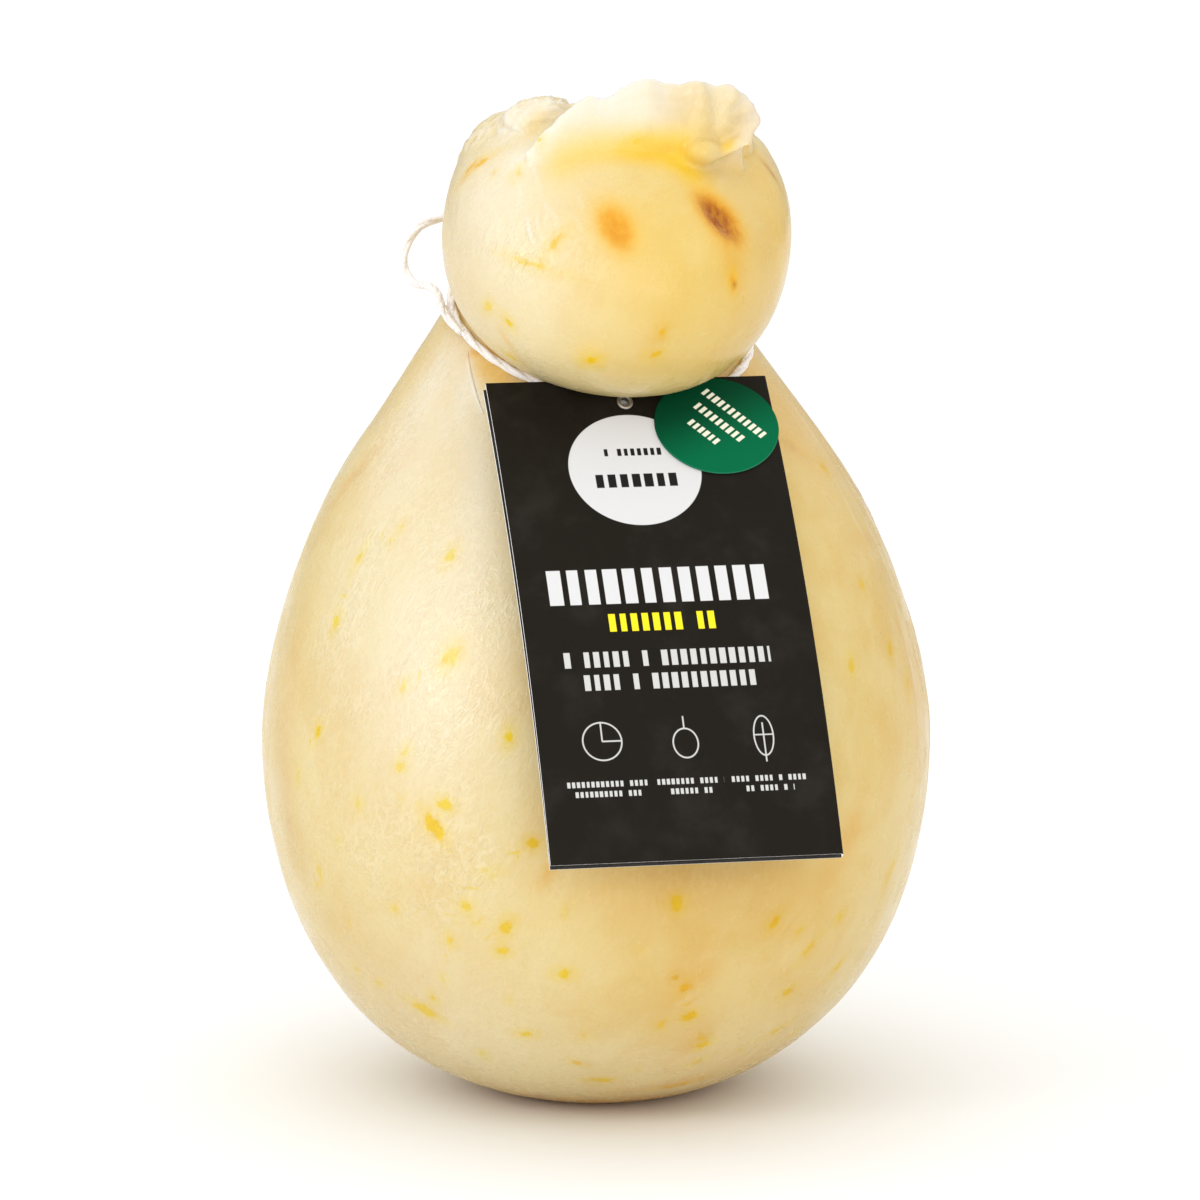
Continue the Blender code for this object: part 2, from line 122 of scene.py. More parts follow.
def outward(obj: Object) -> None:
    """Merge doubles and point every face outwards.

    Args:
        obj: the piece to mend.
    """
    pick(obj)
    bpy.ops.object.mode_set(mode="EDIT")
    bpy.ops.mesh.select_all(action="SELECT")
    bpy.ops.mesh.remove_doubles(threshold=1e-6)
    bpy.ops.mesh.normals_make_consistent(inside=False)
    bpy.ops.object.mode_set(mode="OBJECT")


def positions(obj: Object) -> np.ndarray:
    """Every vertex's place, as rows of x, y, z.

    Args:
        obj: a piece with a mesh.

    Returns:
        An array of one row for each vertex.
    """
    flat = np.empty(len(obj.data.vertices) * 3)
    obj.data.vertices.foreach_get("co", flat)
    return flat.reshape(-1, 3)


def place_vertices(obj: Object, points: np.ndarray) -> None:
    """Move every vertex of a mesh to the given rows of x, y, z."""
    obj.data.vertices.foreach_set("co", np.ascontiguousarray(points, dtype=np.float64).ravel())
    obj.data.update()


def vertex_normals(obj: Object) -> np.ndarray:
    """Every vertex's outward direction, as rows of x, y, z.

    Args:
        obj: a piece with a mesh.

    Returns:
        An array of one row for each vertex.
    """
    flat = np.empty(len(obj.data.vertices) * 3)
    obj.data.vertex_normals.foreach_get("vector", flat)
    return flat.reshape(-1, 3)


def through(points: list, steps: int) -> list[Vector]:
    """Run a smooth curve through points.

    Args:
        points: the points, in order.
        steps: how many steps lie between one point and the next.

    Returns:
        The curve's points, the first and last given points included.
    """
    knots = [Vector(p) for p in points]
    ends = [knots[0] * 2 - knots[1]] + knots + [knots[-1] * 2 - knots[-2]]
    fine = []
    for k in range(1, len(ends) - 2):
        a, b, c, d = ends[k - 1:k + 3]
        for i in range(steps):
            t = i / steps
            fine.append(0.5 * (2 * b + (c - a) * t + (2 * a - 5 * b + 4 * c - d) * t * t
                               + (3 * b - a - 3 * c + d) * t ** 3))
    return fine + [knots[-1]]


def evenly(line: list[Vector], gap: float) -> list[Vector]:
    """Cut a line into equal lengths of about the given gap.

    Args:
        line: the line's points, in order.
        gap: about how far apart the new points lie.

    Returns:
        Points at equal distances along the line, its two ends included.
    """
    reach = [0.0]
    for a, b in zip(line, line[1:]):
        reach.append(reach[-1] + (b - a).length)
    count = max(2, round(reach[-1] / gap))
    out, k = [], 0
    for i in range(count + 1):
        want = reach[-1] * i / count
        while k < len(line) - 2 and reach[k + 1] < want:
            k += 1
        span = reach[k + 1] - reach[k]
        out.append(line[k].lerp(line[k + 1], (want - reach[k]) / span if span else 0.0))
    return out


def ramp(value: np.ndarray, start: float, end: float) -> np.ndarray:
    """How far values have come from start to end, kept between 0 and 1."""
    return np.clip((value - start) / (end - start), 0.0, 1.0)


def noise_at(x: object, y: object, z: object) -> np.ndarray:
    """Perlin noise from -1 to 1 at places whose coordinates are arrays or single numbers."""
    return np.array([noise.noise(Vector(spot)) for spot in zip(*np.broadcast_arrays(x, y, z))])


def loft(name: str, *tubes: list[list[Vector]]) -> Object:
    """Closed meshes in one object, each through its own rings.

    Args:
        name: the new object's name.
        tubes: for each mesh its rings, which are closed loops of equally many points.

    Returns:
        The new object, with the two ends of each mesh filled.
    """
    bm = bmesh.new()
    for rings in tubes:
        loops = [[bm.verts.new(point) for point in ring] for ring in rings]
        for lower, upper in zip(loops, loops[1:]):
            for i in range(len(lower)):
                j = (i + 1) % len(lower)
                bm.faces.new((lower[i], lower[j], upper[j], upper[i]))
        bm.faces.new(list(reversed(loops[0])))
        bm.faces.new(loops[-1])
    bmesh.ops.recalc_face_normals(bm, faces=bm.faces)
    mesh = bpy.data.meshes.new(name)
    bm.to_mesh(mesh)
    bm.free()
    obj = bpy.data.objects.new(name, mesh)
    bpy.context.scene.collection.objects.link(obj)
    return obj


def join(target: Object, others: list[Object]) -> None:
    """Put the meshes of other objects into one object.

    Args:
        target: the object that stays.
        others: the objects that are used up.
    """
    settle()
    for obj in others:
        obj.select_set(True)
    target.select_set(True)
    bpy.context.view_layer.objects.active = target
    bpy.ops.object.join()


def combine(target: Object, tool: Object, operation: str) -> None:
    """Join a closed form to a piece, by UNION, or take it out, by DIFFERENCE, and use it up."""
    apply_modifier(target, "BOOLEAN", operation=operation, object=tool, solver="MANIFOLD")
    bpy.data.objects.remove(tool, do_unlink=True)


def smooth_shade(obj: Object, angle: float = 50.0) -> None:
    """Shade a piece smooth, with edges sharper than the angle in degrees kept crisp."""
    pick(obj)
    bpy.ops.object.shade_smooth_by_angle(angle=math.radians(angle))


def dress(piece: Object, node: str) -> None:
    """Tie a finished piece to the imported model.

    Args:
        piece: the piece.
        node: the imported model's node that it stands in for.
    """
    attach(piece, BODY)
    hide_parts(node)


# ---- camera


@dataclass(frozen=True)
class Lens:
    """The camera: where it stands and how its 1200 x 1200 view falls on the cheese."""

    target: Point = (0.9 * MM, 0.0, 111.5 * MM)
    elevation: float = math.radians(8.0)
    distance: float = 1.0
    focal_pixels: float = 4430.0
    frame_pixels: float = 1200.0
    sensor: float = 36.0

    def forward(self) -> Vector:
        """The direction that the camera looks in."""
        return Vector((0.0, math.cos(self.elevation), -math.sin(self.elevation)))

    def up(self) -> Vector:
        """The view's upward direction."""
        return Vector((0.0, math.sin(self.elevation), math.cos(self.elevation)))

    def place(self) -> Vector:
        """Where the camera stands."""
        return Vector(self.target) - self.forward() * self.distance

    def ray(self, column: float, row: float) -> Vector:
        """The direction from the camera through a point of the view.

        Args:
            column: how far across, from the left.
            row: how far down, from the top.

        Returns:
            A unit direction.
        """
        across = (column - self.frame_pixels / 2) / self.focal_pixels
        down = (row - self.frame_pixels / 2) / self.focal_pixels
        return (self.forward() + Vector((across, 0.0, 0.0)) - self.up() * down).normalized()

    def build(self) -> None:
        """Add the camera and make it the scene's own."""
        data = bpy.data.cameras.new("camera")
        data.sensor_width = self.sensor
        data.lens = self.sensor * self.focal_pixels / self.frame_pixels
        data.clip_start, data.clip_end = 0.05, 1000.0
        camera = bpy.data.objects.new("camera", data)
        camera.location = self.place()
        camera.rotation_euler = (math.pi / 2 - self.elevation, 0.0, 0.0)
        bpy.context.scene.collection.objects.link(camera)
        bpy.context.scene.camera = camera


# ---- material kit


class Sheet:
    """A node tree that is being filled in."""

    def __init__(self, tree: bpy.types.NodeTree) -> None:
        """Start on a material's or a group's node tree."""
        self.tree = tree

    def add(self, kind: str, inputs: dict | None = None, **settings: object) -> bpy.types.Node:
        """Add a node.

        Args:
            kind: the node's type, without its ShaderNode start.
            inputs: socket name or number to a value, or to the socket that feeds it.
            settings: the node's own properties.

        Returns:
            The new node.
        """
        node = self.tree.nodes.new("ShaderNode" + kind)
        for name, value in settings.items():
            setattr(node, name, value)
        for key, value in (inputs or {}).items():
            socket = node.inputs[key]
            if isinstance(value, Socket):
                self.tree.links.new(value, socket)
            else:
                socket.default_value = value
        return node

    def maths(self, operation: str, a: object, b: object = 0.0, clamp: bool = False) -> Socket:
        """The result socket of one sum."""
        return self.add("Math", {0: a, 1: b}, operation=operation, use_clamp=clamp).outputs[0]

    def between(self, value: object, low: float, high: float, start: float = 0.0,
                end: float = 1.0) -> Socket:
        """A smooth rise from start to end as a value goes from low to high."""
        return self.add("MapRange", {0: value, 1: low, 2: high, 3: start, 4: end},
                        interpolation_type="SMOOTHSTEP").outputs[0]

    def mix(self, factor: object, a: object, b: object, blend: str = "MIX") -> Socket:
        """Mix two colours.

        Args:
            factor: how much of the second colour shows, a number or a socket.
            a: the first colour, or its socket.
            b: the second colour, or its socket.
            blend: Blender's name of the way they blend.

        Returns:
            The result socket.
        """
        node = self.add("Mix", data_type="RGBA", blend_type=blend, clamp_factor=True)
        for number, value in ((0, factor), (6, a), (7, b)):
            if isinstance(value, Socket):
                self.tree.links.new(value, node.inputs[number])
            elif number:
                node.inputs[number].default_value = (*value, 1.0)
            else:
                node.inputs[number].default_value = value
        return node.outputs[2]

    def attribute(self, name: str) -> Socket:
        """The value socket of a mesh attribute."""
        return self.add("Attribute", attribute_name=name).outputs["Fac"]

    def noise(self, vector: object, scale: float, detail: float = 3.0, roughness: float = 0.5,
              distortion: float = 0.0) -> Socket:
        """The value socket of a noise."""
        return self.add("TexNoise", {"Vector": vector, "Scale": scale, "Detail": detail,
                                     "Roughness": roughness, "Distortion": distortion}).outputs[0]

    def stretched(self, vector: object, scale: Point, turn: Point = (0.0, 0.0, 0.0)) -> Socket:
        """Coordinates that are turned about the origin and then scaled."""
        turned = self.add("Mapping", {"Vector": vector, "Rotation": turn}).outputs[0]
        return self.add("Mapping", {"Vector": turned, "Scale": scale}).outputs[0]

    def thin_line(self, value: object, half: float) -> Socket:
        """A line that is 1 where a noise is 0.5 and fades to 0 a half width away."""
        away = self.maths("ABSOLUTE", self.maths("SUBTRACT", value, 0.5))
        return self.between(away, 0.0, half, 1.0, 0.0)


def new_material(name: str) -> tuple[Material, Sheet, bpy.types.Node]:
    """A material with its sheet and its shader.

    Args:
        name: the material's name.

    Returns:
        The material, the sheet for its tree and its Principled shader.
    """
    material = bpy.data.materials.new(name)
    material.use_nodes = True
    return material, Sheet(material.node_tree), material.node_tree.nodes["Principled BSDF"]


def object_coordinates(sheet: Sheet) -> Socket:
    """The socket of a piece's own coordinates."""
    return sheet.add("TexCoord").outputs["Object"]


def coat(sheet: Sheet, shader: bpy.types.Node, colour: Socket,
         relief: tuple[float, float, Socket], values: dict[str, object]) -> None:
    """Feed a shader its colour, its relief and its uniform values.

    Args:
        sheet: the material's sheet.
        shader: the material's Principled shader.
        colour: the socket of the colour.
        relief: the bump's strength, its full height in metres and the socket of its height.
        values: the uniform values by the names of their sockets.
    """
    strength, distance, height = relief
    bump = sheet.add("Bump", {"Strength": strength, "Distance": distance, "Height": height})
    sheet.tree.links.new(colour, shader.inputs["Base Color"])
    sheet.tree.links.new(bump.outputs[0], shader.inputs["Normal"])
    for name, value in values.items():
        shader.inputs[name].default_value = value


# ---- finishes


PEEL_LAYERS = ("a", "b")


@dataclass(frozen=True)
class RindFinish:
    """Waxy cream rind with yellow peel in it, over slightly see-through curd."""

    cream: Colour = (0.640, 0.500, 0.205)
    butter: Colour = (0.615, 0.440, 0.140)
    milk: Colour = (0.690, 0.585, 0.310)
    yellow: Colour = (0.76, 0.50, 0.020)
    # pale carries the lip's paler skin and painted light: the lit left side, lifted spots in shade and
    # highlights along crests
    pale: Colour = (0.735, 0.705, 0.630)
    # warm and brown carry real stains and dimples, and also painted shade: in the crease under the head,
    # at the foot, round the tag and on the left rim
    warm: Colour = (0.95, 0.58, 0.05)
    brown: Colour = (0.31, 0.09, 0.0)
    warm_least: float = 0.82
    brown_least: float = 0.68
    peel: Colour = (1.01, 0.98, 0.055)
    peel_orange: Colour = (0.98, 0.75, 0.03)
    # film is a painted glint, laid on the crinkle crests where the light catches the wrinkles
    film: Colour = (0.80, 0.74, 0.56)
    glint_share: float = 0.26
    roughness: Pair = (0.19, 0.33)
    specular: float = 0.33
    relief: float = 0.115 * MM
    see_through: float = 0.12
    see_through_reach: Point = (1.0, 0.50, 0.18)
    see_through_scale: float = 2.0 * MM
    cloud_scale: float = 38.0
    fibre_scale: Point = (75.0, 75.0, 34.0)
    fibre_lean: Point = (0.0, -0.45, 0.0)
    streak_scale: Point = (900.0, 900.0, 420.0)
    edge_scale: float = 560.0
    edge_wander: float = 2.5
    shine_scale: float = 130.0
    fold_scale: Point = (520.0, 520.0, 215.0)
    fold_lean: Point = (0.0, -0.5, 0.0)
    fold_width: float = 0.10
    web_scale: float = 560.0
    web_share: float = 0.6
    patch_scale: float = 80.0
    pore_scale: float = 950.0
    pore_share: float = 0.35

    def build(self) -> Material:
        """Make the material.

        Returns:
            The rind, which reads the skin's painted attributes.
        """
        material, sheet, shader = new_material("rind")
        place = object_coordinates(sheet)
        cloud = sheet.noise(place, self.cloud_scale, 4.0, 0.55, 0.4)
        colour = sheet.mix(sheet.between(cloud, 0.36, 0.66), self.cream, self.butter)
        slanting = sheet.stretched(place, self.fibre_scale, self.fibre_lean)
        fibre = sheet.noise(slanting, 1.0, 4.0, 0.6, 0.5)
        colour = sheet.mix(sheet.between(fibre, 0.45, 0.75, 0.0, 0.32), colour, self.milk)
        # the pale attribute holds the lip's paler skin and painted light: the lit left side, lifted shade
        # and highlights on crests
        colour = sheet.mix(sheet.attribute("pale"), colour, self.pale)
        crests, height = self.crinkle(sheet, place)
        # painted glints: the crinkle crests turned paler
        colour = sheet.mix(sheet.maths("MULTIPLY", crests, self.glint_share), colour, self.film)
        colour = sheet.mix(sheet.attribute("yellow"), colour, self.yellow)
        streaks = sheet.noise(sheet.stretched(place, self.streak_scale), 1.0, 3.0, 0.6)
        # the warm and brown attributes hold real stains and dimples, and painted shade in the crease, at
        # the foot, round the tag and on the left rim
        for name, tint, least in (("warm", self.warm, self.warm_least),
                                  ("brown", self.brown, self.brown_least)):
            share = sheet.maths("MULTIPLY", sheet.attribute(name),
                                sheet.between(streaks, 0.38, 0.58, least, 1.0))
            colour = sheet.mix(share, colour, tint, "MULTIPLY")
        uneven = sheet.maths("SUBTRACT", sheet.noise(place, self.edge_scale, 3.0, 0.6), 0.5)
        for layer in PEEL_LAYERS:
            wander = sheet.maths("MULTIPLY", uneven, self.edge_wander)
            colour = self.crumbs(sheet, layer, wander, colour)
        clouds = sheet.noise(place, self.shine_scale, 3.0)
        shine = sheet.between(clouds, 0.3, 0.7, *self.roughness)
        sheet.tree.links.new(shine, shader.inputs["Roughness"])
        coat(sheet, shader, colour, (1.0, self.relief, height), {
            "Subsurface Weight": self.see_through, "Subsurface Radius": self.see_through_reach,
            "Subsurface Scale": self.see_through_scale, "Specular IOR Level": self.specular})
        return material

    def crumbs(self, sheet: Sheet, layer: str, wander: Socket, colour: Socket) -> Socket:
        """Lay one layer of peel crumbs over a colour.

        Args:
            sheet: the material's sheet.
            layer: the layer's name, with which its attributes' names end.
            wander: the socket of how far a crumb's edge strays, in millimetres.
            colour: the socket of the colour under the crumbs.

        Returns:
            The socket of the colour with the crumbs.
        """
        parts = sheet.add("SeparateXYZ", {0: sheet.add(
            "Attribute", attribute_name="peel_place_" + layer).outputs["Vector"]}).outputs
        along = sheet.maths("POWER", parts[0], 2.0)
        across = sheet.maths("POWER", parts[1], 2.0)
        away = sheet.maths("SQRT", sheet.maths("ADD", along, across))
        edge = sheet.maths("ADD", sheet.maths("SUBTRACT", away, parts[2]), wander)
        strength = sheet.attribute("peel_strength_" + layer)
        tint = sheet.mix(sheet.attribute("peel_orange_" + layer), self.peel, self.peel_orange)
        for low, high, share in ((0.0, 2.6, 0.36), (-0.35, 0.40, 1.0)):
            body = sheet.between(edge, low, high, share, 0.0)
            colour = sheet.mix(sheet.maths("MULTIPLY", body, strength), colour, tint, "MULTIPLY")
        return colour

    def crinkle(self, sheet: Sheet, place: Socket) -> tuple[Socket, Socket]:
        """The film's fine wrinkles, which lean to the right going up, with a glint painted on their
        crests.

        Args:
            sheet: the material's sheet.
            place: the socket of the piece's own coordinates.

        Returns:
            The socket of the pale crests and the socket of the whole height.
        """
        leaning = sheet.stretched(place, self.fold_scale, self.fold_lean)
        folds = sheet.thin_line(sheet.noise(leaning, 1.0, 2.0, 0.5, 0.3), self.fold_width)
        net = sheet.noise(place, self.web_scale, 2.0, 0.5, 0.4)
        web = sheet.maths("MULTIPLY", sheet.thin_line(net, self.fold_width), self.web_share)
        clouds = sheet.noise(place, self.patch_scale, 2.0)
        patches = sheet.between(clouds, 0.38, 0.62, 0.45, 1.0)
        share = sheet.maths("MULTIPLY", sheet.attribute("crinkle"), patches)
        crests = sheet.maths("MULTIPLY", sheet.maths("MAXIMUM", folds, web), share)
        grain = sheet.noise(place, self.pore_scale, 2.0, 0.5)
        pores = sheet.maths("MULTIPLY", grain, self.pore_share)
        return crests, sheet.maths("ADD", crests, pores)


@dataclass(frozen=True)
class TwineFinish:
    """Off-white cotton, with darker fibres in patches."""

    light: Colour = (0.88, 0.84, 0.81)
    dark: Colour = (0.60, 0.53, 0.49)
    roughness: float = 0.85
    sheen: float = 0.3
    fibre_scale: float = 1100.0
    patch_scale: float = 160.0
    relief: float = 0.1 * MM

    def build(self) -> Material:
        """Make the material.

        Returns:
            The twine, whose fibres slant across the strands.
        """
        material, sheet, shader = new_material("twine")
        place = object_coordinates(sheet)
        slanting = sheet.stretched(place, (1.0, 1.0, 1.3), (0.0, 0.7, 0.0))
        fibres = sheet.noise(slanting, self.fibre_scale, 3.0, 0.7)
        patches = sheet.noise(place, self.patch_scale, 2.0)
        amount = sheet.maths("MULTIPLY", sheet.between(fibres, 0.45, 0.75),
                             sheet.between(patches, 0.3, 0.7, 0.35, 0.9))
        coat(sheet, shader, sheet.mix(amount, self.light, self.dark), (0.6, self.relief, fibres),
             {"Roughness": self.roughness, "Sheen Weight": self.sheen})
        return material


class Ink(Enum):
    """The inks on the card."""

    WHITE = (0.645, 0.645, 0.655)
    SOFT_WHITE = (0.56, 0.56, 0.54)
    YELLOW = (0.88, 0.72, 0.02)
    BLACK = (0.012, 0.011, 0.010)


@dataclass(frozen=True)
class PrintedRow:
    """A row of small blocks, in millimetres from the card's top middle, which stands for words."""

    across: float
    down: float
    half_width: float
    half_height: float
    pitch: float
    ink: Ink
    seed: float
    gaps: float = 0.16
    block: float = 0.36


@dataclass(frozen=True)
class CardFinish:
    """Near-black card stock with fields of white, yellow and simple blocks."""

    black: Colour = (0.0100, 0.0080, 0.0050)
    scuffed: Colour = (0.0175, 0.0145, 0.0110)
    roughness: float = 0.50
    specular: float = 0.08
    scuff_scale: float = 90.0
    grain_scale: float = 700.0
    relief: float = 0.08 * MM
    disc_centre: Pair = (-1.9, 21.7)
    disc_size: Pair = (14.9, 13.0)
    rows: tuple[PrintedRow, ...] = (
        PrintedRow(-1.9, 17.6, 6.6, 0.85, 1.50, Ink.BLACK, 3.0),
        PrintedRow(-1.9, 24.3, 9.6, 1.55, 2.75, Ink.BLACK, 8.0, 0.0, 0.38),
        PrintedRow(-0.9, 48.4, 24.9, 3.90, 4.15, Ink.WHITE, 1.0, 0.0, 0.39),
        PrintedRow(-1.3, 56.5, 12.2, 1.95, 2.45, Ink.YELLOW, 5.0),
        PrintedRow(-1.4, 64.5, 23.0, 1.70, 2.15, Ink.SOFT_WHITE, 11.0),
        PrintedRow(-1.2, 69.5, 19.4, 1.70, 2.15, Ink.SOFT_WHITE, 14.0),
        PrintedRow(-18.0, 91.3, 8.8, 0.60, 1.05, Ink.SOFT_WHITE, 21.0),
        PrintedRow(-18.0, 93.4, 7.2, 0.60, 1.05, Ink.SOFT_WHITE, 23.0),
        PrintedRow(0.2, 91.3, 7.4, 0.60, 1.05, Ink.SOFT_WHITE, 25.0),
        PrintedRow(0.2, 93.4, 4.6, 0.60, 1.05, Ink.SOFT_WHITE, 27.0),
        PrintedRow(17.6, 91.3, 8.4, 0.60, 1.05, Ink.SOFT_WHITE, 29.0),
        PrintedRow(17.6, 93.4, 5.4, 0.60, 1.05, Ink.SOFT_WHITE, 31.0),
    )

    def build(self) -> Material:
        """Make the printed material.

        Returns:
            The print, which reads millimetres from the card's own UV map.
        """
        material, sheet, shader = new_material("card_print")
        spot = sheet.add("UVMap", uv_map="UVMap").outputs[0]
        place = object_coordinates(sheet)
        scuffs = sheet.noise(place, self.scuff_scale, 4.0, 0.6)
        colour = sheet.mix(sheet.between(scuffs, 0.45, 0.75), self.black, self.scuffed)
        disc = shape_mask(sheet, spot, self.disc_centre, self.disc_size, Outline.OVAL)
        colour = sheet.mix(disc, colour, Ink.WHITE.value)
        for row in self.rows:
            colour = sheet.mix(row_mask(sheet, spot, row), colour, row.ink.value)
        for mask in motif_masks(sheet, spot):
            colour = sheet.mix(mask, colour, Ink.SOFT_WHITE.value)
        coat(sheet, shader, colour, (0.15, self.relief, sheet.noise(place, self.grain_scale, 3.0)),
             {"Roughness": self.roughness, "Specular IOR Level": self.specular})
        return material


class Outline(Enum):
    """The outlines that the print is made of."""

    OVAL = "oval"
    BAR = "bar"


def shape_group(outline: Outline) -> bpy.types.NodeTree:
    """The node group that masks one printed shape.

    Args:
        outline: an oval, or a bar with rounded corners.

    Returns:
        A group from a spot, a centre, half sizes and a softness to a mask.
    """
    name = "print_" + outline.value
    if name in bpy.data.node_groups:
        return bpy.data.node_groups[name]
    tree = bpy.data.node_groups.new(name, "ShaderNodeTree")
    for socket, kind in (("Spot", "Vector"), ("Centre", "Vector"), ("Half", "Vector"), ("Soft", "Float")):
        tree.interface.new_socket(socket, in_out="INPUT", socket_type="NodeSocket" + kind)
    tree.interface.new_socket("Mask", in_out="OUTPUT", socket_type="NodeSocketFloat")
    sheet = Sheet(tree)
    given = tree.nodes.new("NodeGroupInput").outputs
    away = sheet.add("VectorMath", {0: given["Spot"], 1: given["Centre"]}, operation="SUBTRACT").outputs[0]
    share = sheet.add("VectorMath", {0: away, 1: given["Half"]}, operation="DIVIDE").outputs[0]
    if outline is Outline.OVAL:
        length = sheet.add("VectorMath", {0: share}, operation="LENGTH").outputs["Value"]
        size = sheet.add("VectorMath", {0: given["Half"]}, operation="LENGTH").outputs["Value"]
        over = sheet.maths("MULTIPLY", sheet.maths("SUBTRACT", length, 1.0),
                           sheet.maths("MULTIPLY", size, 0.7))
    else:
        sides = sheet.add("VectorMath", {0: away}, operation="ABSOLUTE").outputs[0]
        past = sheet.add("VectorMath", {0: sides, 1: given["Half"]}, operation="SUBTRACT")
        parts = sheet.add("SeparateXYZ", {0: past.outputs[0]}).outputs
        over = sheet.maths("MAXIMUM", parts[0], parts[1])
    mask = sheet.maths("SUBTRACT", 0.5, sheet.maths("DIVIDE", over, given["Soft"]), clamp=True)
    result = tree.nodes.new("NodeGroupOutput")
    tree.links.new(mask, result.inputs[0])
    return tree


def shape_mask(sheet: Sheet, spot: Socket, centre: Pair, half: Pair, outline: Outline,
               soft: float = 0.14) -> Socket:
    """The mask socket of one printed shape.

    Args:
        sheet: the material's sheet.
        spot: the socket of millimetres on the card.
        centre: the shape's centre, across and down.
        half: its half width and half height.
        outline: its outline.
        soft: how wide its soft edge is.

    Returns:
        A socket that is 1 inside the shape.
    """
    node = sheet.add("Group")
    node.node_tree = shape_group(outline)
    sheet.tree.links.new(spot, node.inputs["Spot"])
    node.inputs["Centre"].default_value = (*centre, 0.0)
    node.inputs["Half"].default_value = (*half, 1.0)
    node.inputs["Soft"].default_value = soft
    return node.outputs[0]


def row_mask(sheet: Sheet, spot: Socket, row: PrintedRow) -> Socket:
    """The mask socket of a row of blocks with a gap here and there.

    Args:
        sheet: the material's sheet.
        spot: the socket of millimetres on the card.
        row: the row's place and rhythm.

    Returns:
        A socket that is 1 on the blocks.
    """
    bar = shape_mask(sheet, spot, (row.across, row.down), (row.half_width, row.half_height), Outline.BAR)
    across = sheet.add("SeparateXYZ", {0: spot}).outputs[0]
    step = sheet.maths("DIVIDE", sheet.maths("SUBTRACT", across, row.across - row.half_width), row.pitch)
    cell = sheet.maths("FLOOR", step)
    chance = sheet.add("TexWhiteNoise", {"W": sheet.maths("ADD", cell, row.seed)},
                       noise_dimensions="1D").outputs["Value"]
    middle = sheet.maths("ABSOLUTE", sheet.maths("SUBTRACT", sheet.maths("FRACT", step), 0.45))
    half = sheet.maths("SUBTRACT", row.block, sheet.maths("MULTIPLY", chance, 0.10))
    soft = 0.10 / row.pitch
    block = sheet.maths("ADD", sheet.maths("DIVIDE", sheet.maths("SUBTRACT", half, middle), soft),
                        0.5, clamp=True)
    kept = sheet.maths("GREATER_THAN", chance, row.gaps)
    return sheet.maths("MULTIPLY", bar, sheet.maths("MULTIPLY", block, kept))


def motif_masks(sheet: Sheet, spot: Socket) -> list[Socket]:
    """The mask sockets of three plain line drawings: a wheel, a drop and a leaf.

    Args:
        sheet: the material's sheet.
        spot: the socket of millimetres on the card.

    Returns:
        One socket for each ring and bar, which is 1 on its line.
    """
    line = 0.32
    rings = (((-18.0, 82.2), (4.4, 4.2)), ((0.2, 83.2), (2.9, 3.3)), ((17.6, 82.2), (2.3, 4.4)))
    bars = (((-18.0, 80.1), (0.16, 2.1)), ((-15.9, 82.2), (2.1, 0.16)), ((0.2, 78.7), (0.16, 1.3)),
            ((17.6, 83.6), (0.16, 4.2)), ((17.6, 82.0), (2.2, 0.14)))
    masks = []
    for centre, (wide, tall) in rings:
        outer = shape_mask(sheet, spot, centre, (wide, tall), Outline.OVAL)
        inner = shape_mask(sheet, spot, centre, (wide - line, tall - line), Outline.OVAL)
        masks.append(sheet.maths("SUBTRACT", outer, inner, clamp=True))
    return masks + [shape_mask(sheet, spot, centre, half, Outline.BAR) for centre, half in bars]


@dataclass(frozen=True)
class PlainFinish:
    """A plain coat with a little mottling, grain and relief of its own."""

    name: str
    light: Colour
    dark: Colour
    roughness: float
    scale: float = 600.0
    metallic: float = 0.0
    specular: float = 0.5
    relief: float = 0.05 * MM

    def build(self) -> Material:
        """Make the material.

        Returns:
            The plain coat.
        """
        material, sheet, shader = new_material(self.name)
        grain = sheet.noise(object_coordinates(sheet), self.scale, 3.0, 0.6)
        colour = sheet.mix(sheet.between(grain, 0.35, 0.7), self.light, self.dark)
        coat(sheet, shader, colour, (0.2, self.relief, grain),
             {"Roughness": self.roughness, "Metallic": self.metallic, "Specular IOR Level": self.specular})
        return material


